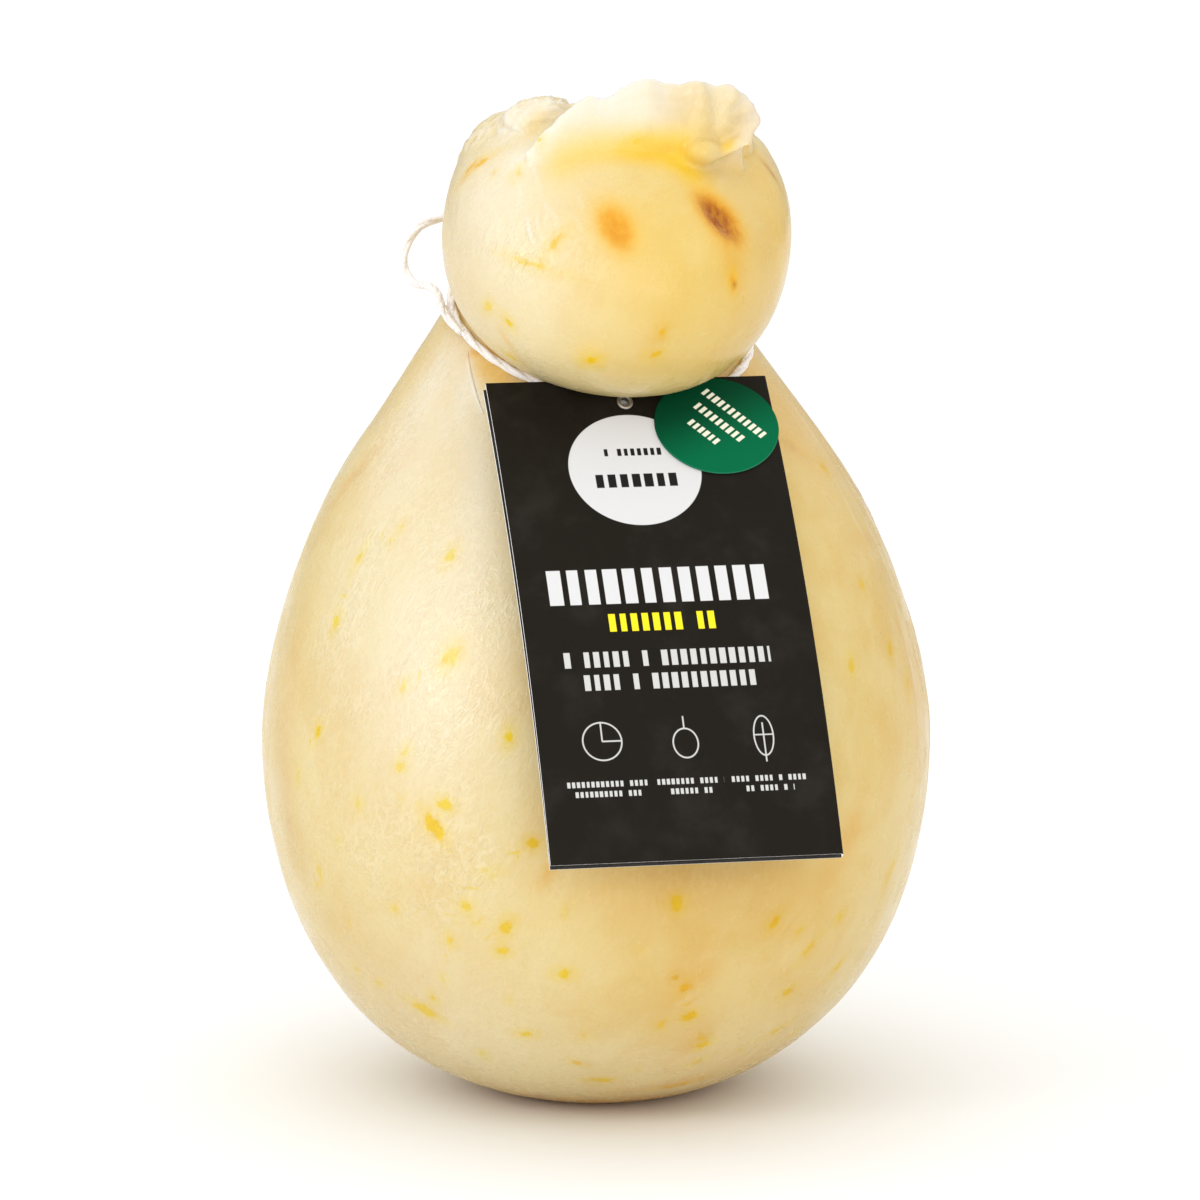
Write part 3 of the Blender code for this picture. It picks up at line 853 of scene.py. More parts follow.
@dataclass(frozen=True)
class StickerFinish:
    """Green satin paper, darker at its top left, with three slanting rows of cream blocks."""

    dark: Colour = (0.0, 0.048, 0.018)
    bright: Colour = (0.0, 0.128, 0.050)
    rim: Colour = (0.02, 0.17, 0.09)
    cream: Colour = (0.80, 0.80, 0.66)
    slant: float = math.radians(50.0)
    fade: Pair = (-9.0, 8.0)
    rim_band: Pair = (12.75, 13.0)
    roughness: float = 0.50
    specular: float = 0.05
    grain_scale: float = 500.0
    relief: float = 0.05 * MM
    rows: tuple[PrintedRow, ...] = (
        PrintedRow(0.3, -5.2, 8.7, 1.00, 1.45, Ink.WHITE, 2.0, 0.0),
        PrintedRow(-0.2, -1.0, 6.75, 1.00, 1.50, Ink.WHITE, 6.0, 0.0),
        PrintedRow(-0.6, 3.4, 4.2, 0.90, 1.40, Ink.WHITE, 9.0, 0.0),
    )

    def build(self) -> Material:
        """Make the material.

        Returns:
            The print, which reads millimetres from the sticker's own UV map.
        """
        material, sheet, shader = new_material("sticker_print")
        spot = sheet.add("UVMap", uv_map="UVMap").outputs[0]
        parts = sheet.add("SeparateXYZ", {0: spot}).outputs
        fall = sheet.maths("ADD", sheet.maths("MULTIPLY", parts[0], 0.45), parts[1])
        colour = sheet.mix(sheet.between(fall, *self.fade), self.dark, self.bright)
        distance = sheet.add("VectorMath", {0: spot}, operation="LENGTH").outputs["Value"]
        low = sheet.between(parts[1], 2.0, 9.0)
        rim = sheet.maths("MULTIPLY", sheet.between(distance, *self.rim_band), low)
        colour = sheet.mix(rim, colour, self.rim)
        turned = sheet.add("VectorRotate", {"Vector": spot, "Angle": -self.slant},
                           rotation_type="Z_AXIS").outputs[0]
        for row in self.rows:
            colour = sheet.mix(row_mask(sheet, turned, row), colour, self.cream)
        grain = sheet.noise(object_coordinates(sheet), self.grain_scale, 3.0)
        coat(sheet, shader, colour, (0.12, self.relief, grain),
             {"Roughness": self.roughness, "Specular IOR Level": self.specular})
        return material


# ---- marks on the skin


class Tint(Enum):
    """The soft tints that are painted on the skin: real stains, and painted light and shade."""

    WARM = "warm"
    YELLOW = "yellow"
    BROWN = "brown"
    PALE = "pale"


WARM, YELLOW, BROWN, PALE = Tint


@dataclass(frozen=True)
class Stain:
    """A soft-edged tint, and a dent under it.

    The column and row say where it shows in the view. The radius and depth are in millimetres,
    stretch lengthens it, and lean turns its long side clockwise from upright, in degrees. A higher
    power gives it a crisper edge.
    """

    column: float
    row: float
    radius: float
    tint: Tint
    amount: float
    stretch: float = 1.0
    lean: float = 0.0
    depth: float = 0.0
    power: float = 2.0


@dataclass(frozen=True)
class Peel:
    """A crumb of peel in the skin, in the same terms, with its half width in millimetres."""

    column: float
    row: float
    half: float
    strength: float = 0.8
    stretch: float = 1.3
    lean: float = 20.0
    orange: float = 0.36


STAINS = tuple(Stain(*row) for row in (
    # painted light: the lit left of the head and the body turned paler, and shaded spots lifted beside the
    # tag's left edge, at the shoulder, under the head and low down
    (478, 225, 22, PALE, 0.36, 1.3), (512, 178, 15, PALE, 0.3, 1.2, 20),
    (540, 290, 14, PALE, 0.14, 1.3), (425, 440, 16, PALE, 0.34, 1.6, 25),
    (425, 630, 24, PALE, 0.46, 1.7, 10), (450, 760, 18, PALE, 0.16, 1.4),
    (479, 478, 5.5, PALE, 0.32, 4, -9), (345, 600, 9, PALE, 0.12, 3, 10),
    (430, 1010, 26, PALE, 0.26, 1.3, 60), (640, 1070, 18, PALE, 0.14, 3, 88),
    (590, 370, 14, PALE, 0.1, 2, 88), (439, 372, 7.5, PALE, 0.42, 2.4, 18),
    # painted shade, partly the skin's own warmer tone: deeper, warmer colour on the shaded right and low
    # down
    (770, 270, 17, WARM, 0.19, 2), (780, 215, 9, YELLOW, 0.38, 2.4, -8),
    (690, 285, 20, YELLOW, 0.2, 1.4), (640, 350, 13, YELLOW, 0.1, 2.4, 88),
    (800, 430, 15, WARM, 0.2, 1.6, -30), (900, 620, 26, WARM, 0.14, 2.4),
    (800, 970, 30, WARM, 0.06, 1.6, 60),
    # the head's two burnt dimples, with the small mark below them
    (615, 225, 4.9, YELLOW, 0.34, 1.5, -24, 0, 2.4), (616, 226, 4, WARM, 0.72, 1.5, -24, 0.9, 2.6),
    (616, 227, 3, WARM, 0.8, 1.65, -28, 0, 4), (616, 227, 3.4, YELLOW, 0.62, 1.6, -28, 0, 3),
    (619, 231, 2.3, BROWN, 0.13, 2, -28, 0.3, 3), (621, 226, 0.7, BROWN, 0.22, 2, -40),
    (615, 219, 0.6, BROWN, 0.2, 1.6), (721, 217, 4.3, WARM, 0.84, 1.5, -40, 0.8),
    (721, 217, 3.6, BROWN, 0.26, 1.8, -40, 0, 4), (721, 217, 3.7, WARM, 0.97, 1.9, -40, 0, 4),
    (721, 217, 4.1, YELLOW, 0.88, 1.7, -40, 0, 3), (721, 218, 2.5, BROWN, 0.86, 2.1, -38, 0.9, 3.2),
    (720, 212, 1.1, BROWN, 0.88, 2.4, -48, 0.5, 3), (727, 224, 1, BROWN, 0.75, 1.8, -30, 0.4, 3),
    (733, 282, 1.1, WARM, 0.26, 1.9, -8, 0.3, 3), (733, 281, 1.3, YELLOW, 0.7, 1.9, -8),
    (728, 248, 6, YELLOW, 0.24, 1.4, -15), (735, 285, 0.5, BROWN, 0.8, 1.6),
    (732, 252, 3.6, WARM, 0.34, 2.6, -12),
    # the yellow valley in front of the lip
    (676, 156, 4, YELLOW, 0.9, 1.5, 66), (655, 148, 3.2, YELLOW, 0.55, 1.9, 75),
    # the warm line at column 664 is painted shade in the hollow under the lip
    (688, 170, 3.2, YELLOW, 0.7, 1.6, -25), (664, 150, 1.4, WARM, 0.28, 3.4, 78),
    (628, 147, 4, YELLOW, 0.36, 2.4, 84), (590, 152, 4.6, YELLOW, 0.38, 1.8, 78),
    (560, 165, 5, YELLOW, 0.4, 1.2, 20), (701, 184, 3, YELLOW, 0.12, 1.8, -15),
    (711, 203, 3, YELLOW, 0.32, 1.4, -30), (727, 146, 1.5, YELLOW, 0.8, 1.4, 40),
    (536, 124, 2.6, YELLOW, 0.34, 1.7, 30), (591, 356, 3.4, YELLOW, 0.42),
    (650, 200, 14, YELLOW, 0.1, 1.4, 60), (556, 114, 1.6, WARM, 0.12, 2.4, 75),
    (700, 112, 2.6, YELLOW, 0.18, 2, 10), (538, 112, 4.5, PALE, 0.42, 1.6, 75),
    (520, 116, 4, PALE, 0.32, 1.5, 60), (506, 126, 3.5, PALE, 0.32),
    (618, 115, 4.5, PALE, 0.36, 2.8, 80), (641, 112, 4, PALE, 0.3, 1.8, 85),
    (651, 151, 2.6, YELLOW, 0.6, 3, 82), (682, 93, 3.5, YELLOW, 0.2),
    # the warm line at column 653 is painted shade in the hollow under the lip
    (653, 151, 2.2, WARM, 0.14, 3, 82), (682, 96, 4, BROWN, 0.05), (722, 97, 3, YELLOW, 0.1),
    # the three brown rows at columns 281 to 290, which end this group, are painted shade on the body's
    # left rim
    (684, 108, 4.5, BROWN, 0.08), (745, 119, 3, BROWN, 0.14), (283, 640, 6, BROWN, 0.1, 3, 8),
    (281, 740, 6, BROWN, 0.08, 3), (290, 830, 6, BROWN, 0.09, 2.5, -14),
    # strokes, specks and a faint streak on the head
    (654, 336, 3, WARM, 0.22, 1.6, 20), (509, 345, 1.3, WARM, 0.36, 4.5, 4),
    (786, 240, 1.6, WARM, 0.35, 3), (771, 172, 0.8, BROWN, 0.5, 4, -30),
    # the fold of skin beside the tag
    (494, 368, 3.4, WARM, 0.3, 1.9, -42, 0, 3), (492, 368, 3.6, YELLOW, 0.5, 1.9, -42, 0, 3),
    (476, 353, 1, WARM, 0.8, 2.4, 75, 0, 3), (505, 381, 2, WARM, 0.3, 1.5, -50),
    (464, 392, 2.4, PALE, 0.4, 3, -13),
    # painted shade along the body's rim at the left, where it turns away from the light
    (286, 730, 5, WARM, 0.24, 8, 0),
    # painted shade: warm and brown tints round the tag's edges and under its foot, where the tag shades
    # the skin
    (690, 878, 8, WARM, 0.35, 5.5, 88), (690, 874, 4, BROWN, 0.12, 7, 88),
    (549, 872, 1.4, WARM, 0.55, 3, 30), (690, 905, 8, WARM, 0.14, 4, 88),
    (850, 836, 3.6, WARM, 0.42, 2, 8), (829, 868, 4, WARM, 0.22, 2.2, 10),
    (801, 452, 3.6, WARM, 0.3, 2, -62), (790, 446, 1, BROWN, 0.16, 3, -62),
    (800, 640, 5, WARM, 0.16, 3.2, 5), (538, 820, 4.2, WARM, 0.24, 2.2, 8),
    (350, 480, 2.4, WARM, 0.3, 4, 38), (357, 474, 0.9, BROWN, 0.1, 4, 38), (535, 700, 4, WARM, 0.1, 4, -8),
    # warmer clouds low on the body
    (687, 985, 6.5, WARM, 0.26, 2, 5), (780, 930, 8, WARM, 0.12, 1.6, -40),
    (660, 1086, 3, WARM, 0.34, 3, 70), (694, 1040, 3.2, WARM, 0.26, 3, 12),
    (430, 822, 7, YELLOW, 0.08), (450, 653, 4.5, YELLOW, 0.18, 1.3, 20), (705, 971, 3.2, WARM, 0.42),
))

@dataclass(frozen=True)
class Ridge:
    """A raised line on the skin, through columns and rows of the view.

    Its height and half width are in millimetres. A height below 0 is a groove. Its pale share is a painted
    highlight along the crest.
    """

    path: tuple[Pair, ...]
    height: float
    half: float = 0.55
    pale: float = 0.3


RIDGES = tuple(Ridge(*row) for row in (
    # the seam that runs down from the lip's left end, and the wrinkles beside it
    (((528, 153), (532, 164), (536, 176), (540, 190), (541, 199)), 0.42, 0.6, 0.34),
    (((527, 216), (528, 226), (531, 236), (535, 244)), 0.55, 0.42, 0.8),
    (((523, 222), (525, 232), (529, 242)), -0.2, 0.4, 0),
    (((538, 210), (537, 220), (540, 234)), 0.3, 0.35, 0.4),
    (((545, 202), (548, 211), (546, 222)), 0.32, 0.35, 0.45),
    (((552, 210), (556, 220), (560, 236)), 0.28, 0.32, 0.36),
    (((577, 192), (581, 203), (583, 212)), 0.22, 0.35, 0.25),
    (((571, 215), (578, 222), (583, 232)), 0.2, 0.32, 0.2),
    (((553, 250), (555, 262), (560, 276)), 0.22, 0.38, 0.2),
    (((494, 205), (497, 222), (495, 240)), 0.16, 0.5, 0.12),
    (((507, 200), (511, 216), (513, 236)), 0.16, 0.5, 0.12),
    (((515, 178), (520, 194), (517, 208)), 0.18, 0.5, 0.18),
    (((462, 190), (458, 214), (459, 240)), 0.12, 0.6, 0.12),
    # the crumpled crown at the left of the lip
    (((543, 108), (551, 103), (560, 104), (566, 108)), 0.55, 0.42, 0.85),
    (((538, 112), (547, 109), (558, 110)), 0.45, 0.4, 0.85),
    (((512, 116), (518, 110), (525, 107)), 0.5, 0.4, 0.75),
    (((519, 118), (525, 114), (530, 113)), 0.45, 0.36, 0.75),
    (((510, 134), (515, 128), (521, 131), (523, 136)), 0.5, 0.4, 0.8),
    (((499, 134), (503, 129), (506, 133)), 0.4, 0.4, 0.75),
    (((527, 124), (533, 118), (541, 117)), 0.4, 0.4, 0.3),
    (((532, 132), (540, 125), (550, 120)), -0.45, 0.5, 0),
    # the hollow beside the fold next to the tag
    (((480, 358), (489, 366), (500, 376)), -0.8, 1.5, 0),
    (((441, 408), (446, 432), (444, 455)), 0.25, 0.8, 0.2),
    # a faint crease beside the tag's right edge
    (((786, 441), (798, 451), (812, 463)), -0.35, 0.7, 0),
))

PEELS = tuple(Peel(*row) for row in (
    # upper left of the body
    (360, 557, 0.55, 0.65, 3, 20), (402, 526, 0.45, 0.5, 1.2), (391, 540, 0.5, 0.4, 1.6),
    (450, 556, 0.75, 0.62, 1.9, 25), (336, 622, 0.85, 0.76, 1.7, 12, 0.35),
    (451, 657, 1.45, 0.6, 1.6, 38, 0.45), (403, 687, 0.6, 0.5, 1.5, 25),
    # left of the tag's foot
    (318, 732, 1, 0.95, 1.4, 20), (298, 776, 0.5, 0.5, 2.6, 15), (405, 752, 0.7, 0.45, 1.6, 30),
    (400, 767, 0.8, 0.52, 1.3, 90), (358, 803, 0.7, 0.5, 1.3), (445, 805, 1.15, 0.8, 1.3, 100),
    (434, 827, 1.6, 0.9, 2, -38, 0.55), (509, 737, 0.8, 1, 1.7, 10),
    (533, 844, 1.1, 1, 1.2, 90, 0.5), (320, 873, 0.7, 0.6, 2.2, 5), (317, 885, 0.45, 0.5),
    (395, 909, 0.65, 0.42, 1.3, 60), (466, 906, 1, 0.7, 1.2, 80), (450, 940, 0.8, 0.7, 1.3, 10),
    (506, 927, 1.2, 0.88, 1.7, 32, 0.5), (476, 923, 0.5, 0.38, 1.5, 80),
    (502, 951, 1, 0.82, 1.2, 80), (425, 1010, 1.6, 0.8, 2.2, -50), (433, 998, 0.6, 1),
    (527, 1034, 0.8, 0.8, 1.6, 90), (483, 1054, 0.55, 0.9), (357, 969, 0.45, 0.6),
    (379, 983, 0.5, 0.6, 1.6, 70), (486, 870, 0.45, 0.28, 2.4, 75), (495, 874, 0.4, 0.3, 2, 60),
    (339, 839, 0.7, 0.3, 1.4), (349, 923, 0.5, 0.35), (443, 980, 0.8, 0.3, 1.5),
    (510, 1000, 0.4, 0.4), (402, 800, 0.4, 0.3),
    # right of the middle and low down
    (677, 903, 1.45, 1, 1.3, -15, 0.1), (774, 923, 1, 1, 1.7, 22), (840, 916, 0.8, 0.95, 1.4, 20),
    (890, 873, 0.6, 0.95, 3, 12), (800, 931, 0.4, 0.7, 1.5), (808, 950, 0.6, 0.75, 2.8, 28),
    (838, 966, 0.65, 1, 2.4, 30), (788, 992, 0.95, 1, 1.4, 55), (779, 1029, 0.65, 1, 2.4, 45),
    (793, 1034, 0.5, 0.95, 2.2, 45), (564, 974, 1, 0.9, 1.4, 80), (685, 988, 1, 0.95, 1.7, 35, 0.7),
    (676, 978, 0.55, 0.8, 1.2, 0, 0.9), (690, 1016, 1.35, 1, 1.2, 70, 0.4), (660, 1025, 0.7, 0.75),
    (703, 1045, 1, 0.95, 1.6, 60, 0.3), (702, 1038, 0.45, 0.8, 1.4, 60),
    (696, 1062, 0.7, 0.6, 1.6, 45), (601, 1080, 0.85, 1, 2, 88),
    (578, 1063, 0.4, 0.7, 1.8, -60, 0.8), (678, 1085, 1.05, 1, 3.4, 62, 0.8), (584, 1036, 0.6, 0.4),
    (565, 912, 0.7, 0.25, 1.8, 20), (636, 1070, 0.4, 0.5), (640, 950, 0.5, 0.2), (740, 1050, 0.4, 0.4),
    # beside the tag's right edge
    (824, 467, 1, 0.9, 1.3, 40), (862, 584, 0.8, 0.58, 1.5, 5), (890, 649, 0.75, 0.9, 1.6, 5),
    (851, 665, 0.9, 0.7, 1.5, 8), (908, 684, 0.7, 1, 2, 5), (868, 745, 0.5, 0.2),
    # on the head
    (488, 307, 0.7, 0.75, 1.5, 60), (508, 322, 0.65, 1, 1.5, -20, 0.6),
    (511, 357, 0.55, 1, 1.8, -30, 0.6), (591, 361, 0.85, 0.95, 1.5, 85),
    (655, 355, 0.8, 0.95, 1.4, 70, 0.5), (662, 332, 0.7, 0.92, 1.3, 0, 0.6),
    (471, 167, 0.55, 1, 3, 35, 1), (481, 163, 0.45, 1, 3.4, 50, 1), (494, 173, 0.3, 0.4, 1.2, 0, 1),
    (519, 171, 0.5, 0.9, 1.9, 15, 0.8), (534, 265, 0.5, 0.6, 7, 108, 0.7),
    (555, 243, 0.6, 0.7, 3, 40, 0.9), (635, 142, 0.45, 1, 2.2, 70, 0.3),
    (539, 140, 0.4, 0.8, 1.3, 0, 1), (771, 172, 0.5, 1, 3.6, -32, 1), (733, 281, 0.5, 1, 1.8, -10, 0.4),
))


@dataclass(frozen=True)
class FilmEdges:
    """Long thin ridges up the right side, like the edges of dried film.

    Bearings are in degrees about the upright axis, other sizes in millimetres.
    """

    bearings: tuple[float, ...] = (1.5, -2.0, -5.5, -9.0, -13.0, -18.0)
    low: float = 62.0
    high: float = 178.0
    middle: float = -14.0
    spread: float = 30.0
    sway: float = 2.4
    sway_length: float = 22.0
    patch_length: float = 14.0
    patch_floor: float = 0.55
    half: float = 0.55
    height: float = 0.26
    pale: float = 0.3


@dataclass(frozen=True)
class HiddenPeel:
    """How peel is scattered over the back: ranges of degrees, millimetres and shares."""

    count: int = 105
    seed: int = 4
    bearings: Pair = (8.0, 172.0)
    heights: Pair = (6.0, 205.0)
    tilt: float = 25.0
    halves: Pair = (0.45, 0.9)
    strengths: Pair = (0.4, 0.95)
    stretches: Pair = (1.1, 2.4)
    leans: Pair = (-40.0, 60.0)
    oranges: tuple[float, ...] = (0.1, 0.2, 0.3, 0.8)


@dataclass
class Skin:
    """Dents, tints and peel, placed on a finished skin and kept as attributes of its vertices."""

    piece: Object
    lens: Lens
    peel_share: float = 0.94
    peel_reach: float = 2.9
    dent_share: float = 0.8
    ridge_gap: float = 0.4 * MM
    ridge_margin: float = 4.0 * MM
    cast_from: float = 0.3

    def __post_init__(self) -> None:
        """Read the skin's places and make it ready for casting onto."""
        mesh = self.piece.data
        self.points = positions(self.piece)
        self.normals = vertex_normals(self.piece)
        self.tree = BVHTree.FromPolygons([v.co for v in mesh.vertices],
                                         [tuple(p.vertices) for p in mesh.polygons])
        count = len(self.points)
        self.tints = {tint: np.zeros(count) for tint in Tint}
        self.gap = {layer: np.full(count, np.inf) for layer in PEEL_LAYERS}
        self.peel_place = {layer: np.zeros((count, 3)) for layer in PEEL_LAYERS}
        self.strength = {layer: np.zeros(count) for layer in PEEL_LAYERS}
        self.orange = {layer: np.zeros(count) for layer in PEEL_LAYERS}

    def seen_at(self, column: float, row: float) -> tuple[Vector, Vector]:
        """Find where a point of the view falls on the skin.

        Args:
            column: how far across the view, from the left.
            row: how far down the view, from the top.

        Returns:
            The place, and the skin's outward direction there.
        """
        place, normal, _, _ = self.tree.ray_cast(self.lens.place(), self.lens.ray(column, row))
        if place is None:
            raise ValueError(f"nothing is seen at column {column}, row {row}")
        return place, normal

    def spread(self, place: Vector, normal: Vector, upright: Vector, lean: float,
               stretch: float) -> tuple[np.ndarray, np.ndarray]:
        """Every vertex's offset from a place along the mark's long and short directions.

        Args:
            place: the middle, on the skin.
            normal: the skin's outward direction there.
            upright: the direction that a lean of 0 has.
            lean: the long direction's turn from upright, clockwise from outside, in degrees.
            stretch: how many times as far the long direction reaches.

        Returns:
            Two offsets in millimetres for each vertex, the long one divided by the stretch.
        """
        flat_up = (upright - normal * upright.dot(normal)).normalized()
        side = flat_up.cross(normal)
        angle = math.radians(lean)
        long_way = np.array(flat_up * math.cos(angle) + side * math.sin(angle))
        off = (self.points - np.array(place)) / MM
        along = off @ long_way
        rest = off - along[:, None] * long_way
        short_way = np.cross(np.array(normal), long_way)
        across = np.sqrt((rest * rest).sum(axis=1)) * np.where(rest @ short_way < 0.0, -1.0, 1.0)
        return along / stretch, across

    def stain(self, mark: Stain) -> None:
        """Paint one stain, and press its dent.

        Args:
            mark: the stain.
        """
        place, normal = self.seen_at(mark.column, mark.row)
        away = np.hypot(*self.spread(place, normal, self.lens.up(), mark.lean, mark.stretch))
        share = np.exp(-(away / mark.radius) ** mark.power)
        layer = self.tints[mark.tint]
        layer += (1.0 - layer) * mark.amount * share
        if mark.depth:
            dent = np.exp(-(away / (mark.radius * self.dent_share)) ** 2) * mark.depth * MM
            self.points -= self.normals * dent[:, None]

    def ridge(self, mark: Ridge) -> None:
        """Raise one line on the skin, and paint a highlight along its crest.

        Args:
            mark: the line.
        """
        line = evenly(through([self.seen_at(*spot)[0] for spot in mark.path], 6), self.ridge_gap)
        spots = np.array([tuple(p) for p in line])
        low, high = spots.min(axis=0) - self.ridge_margin, spots.max(axis=0) + self.ridge_margin
        near = np.where(((self.points > low) & (self.points < high)).all(axis=1))[0]
        off = self.points[near][:, None, :] - spots[None]
        away = np.sqrt((off * off).sum(axis=2))
        ends = np.sin(np.pi * (away.argmin(axis=1) + 0.5) / len(spots)) ** 0.5
        crest = np.exp(-(away.min(axis=1) / MM / mark.half) ** 2) * ends
        self.points[near] += self.normals[near] * (crest * mark.height * MM)[:, None]
        layer = self.tints[PALE]
        layer[near] += (1.0 - layer[near]) * mark.pale * crest

    def films(self, films: FilmEdges) -> None:
        """Raise the long thin ridges up one side, and turn them paler.

        Args:
            films: where they run and how high they are.
        """
        angles = np.degrees(np.arctan2(self.points[:, 1], self.points[:, 0]))
        heights = self.points[:, 2] / MM
        near = np.where((heights > films.low) & (heights < films.high)
                        & (np.abs(angles - films.middle) < films.spread))[0]
        z = heights[near]
        reach = np.hypot(self.points[near, 0], self.points[near, 1]) / MM
        share = np.sin(np.pi * (z - films.low) / (films.high - films.low)) ** 0.4
        layer = self.tints[PALE]
        for number, bearing in enumerate(films.bearings):
            sway = films.sway * noise_at(z / films.sway_length, number * 7.3, 1.0)
            away = np.radians(angles[near] - bearing - sway) * reach
            patchy = noise_at(z / films.patch_length, number * 3.1, 4.0) + films.patch_floor
            crest = np.exp(-(away / films.half) ** 2) * share * np.maximum(0.0, patchy)
            self.points[near] += self.normals[near] * (crest * films.height * MM)[:, None]
            layer[near] += (1.0 - layer[near]) * films.pale * crest

    def crease(self, plane: tuple[float, float, float], reach: float, at_tie: float,
               at_foot: float) -> None:
        """Deepen the skin's colour along a tilted plane and at the very bottom.

        Args:
            plane: the plane's height in metres where x and y are 0, and its slopes along x and y.
            reach: how far the deeper colour fades out, in metres.
            at_tie: how much painted shade, as the warm tint, it has along the plane.
            at_foot: how much painted shade, as the warm tint, it has at the bottom.
        """
        height, along_x, along_y = plane
        level = height + along_x * self.points[:, 0] + along_y * self.points[:, 1]
        from_tie = np.abs(self.points[:, 2] - level) / reach
        share = np.maximum(at_tie * np.exp(-from_tie ** 2),
                           at_foot * np.exp(-(self.points[:, 2] / reach) ** 2))
        layer = self.tints[WARM]
        layer += (1.0 - layer) * share

    def peel(self, place: Vector, normal: Vector, upright: Vector, mark: Peel) -> None:
        """Bed one crumb of peel at a place on the skin, in the layer where it has more room.

        Args:
            place: its middle, on the skin.
            normal: the skin's outward direction there.
            upright: the direction that a lean of 0 has.
            mark: the crumb.
        """
        along, across = self.spread(place, normal, upright, mark.lean, mark.stretch)
        half = mark.half * self.peel_share
        gap = np.hypot(along, across) - half
        shown = gap < self.peel_reach
        taken = {layer: self.strength[layer][shown].sum() for layer in PEEL_LAYERS}
        layer = min(PEEL_LAYERS, key=taken.get)
        nearer = gap < self.gap[layer]
        self.gap[layer][nearer] = gap[nearer]
        self.peel_place[layer][nearer] = np.column_stack(
            (along[nearer], across[nearer], np.full(nearer.sum(), half)))
        self.strength[layer][nearer] = np.where(shown[nearer], mark.strength, 0.0)
        self.orange[layer][nearer] = mark.orange

    def hidden_side(self, scatter: HiddenPeel) -> None:
        """Scatter peel over the back, where the view doesn't reach, as thickly as in front.

        Args:
            scatter: how many crumbs there are and how they differ.
        """
        chance = random.Random(scatter.seed)
        for _ in range(scatter.count):
            azimuth = math.radians(chance.uniform(*scatter.bearings))
            height = chance.uniform(*scatter.heights) * MM
            start = Vector((math.cos(azimuth), math.sin(azimuth), 0.0)) * self.cast_from
            aim = Vector((0.0, 0.0, height + chance.uniform(-scatter.tilt, scatter.tilt) * MM))
            start.z = height
            place, normal, _, _ = self.tree.ray_cast(start, (aim - start).normalized())
            least, more = scatter.halves
            half = least + more * chance.random() ** 2
            mark = Peel(0, 0, half, chance.uniform(*scatter.strengths),
                        chance.uniform(*scatter.stretches), chance.uniform(*scatter.leans),
                        chance.choice(scatter.oranges))
            if place is not None:
                self.peel(place, normal, Vector((0.0, 0.0, 1.0)), mark)

    def finish(self, crinkle: np.ndarray) -> None:
        """Write the dents and the attributes to the mesh.

        Args:
            crinkle: how strongly the fine crinkles show, for each vertex.
        """
        place_vertices(self.piece, self.points)
        layers = {tint.value: values for tint, values in self.tints.items()}
        layers["crinkle"] = crinkle * (1.0 - self.tints[BROWN]) * (1.0 - 0.8 * self.tints[WARM])
        for name in PEEL_LAYERS:
            layers["peel_strength_" + name] = self.strength[name]
            layers["peel_orange_" + name] = self.orange[name]
        for name, values in layers.items():
            layer = self.piece.data.attributes.new(name, "FLOAT", "POINT")
            layer.data.foreach_set("value", np.ascontiguousarray(values, dtype=np.float32))
        for name in PEEL_LAYERS:
            layer = self.piece.data.attributes.new("peel_place_" + name, "FLOAT_VECTOR", "POINT")
            layer.data.foreach_set("vector", self.peel_place[name].astype(np.float32).ravel())


# ---- the cheese


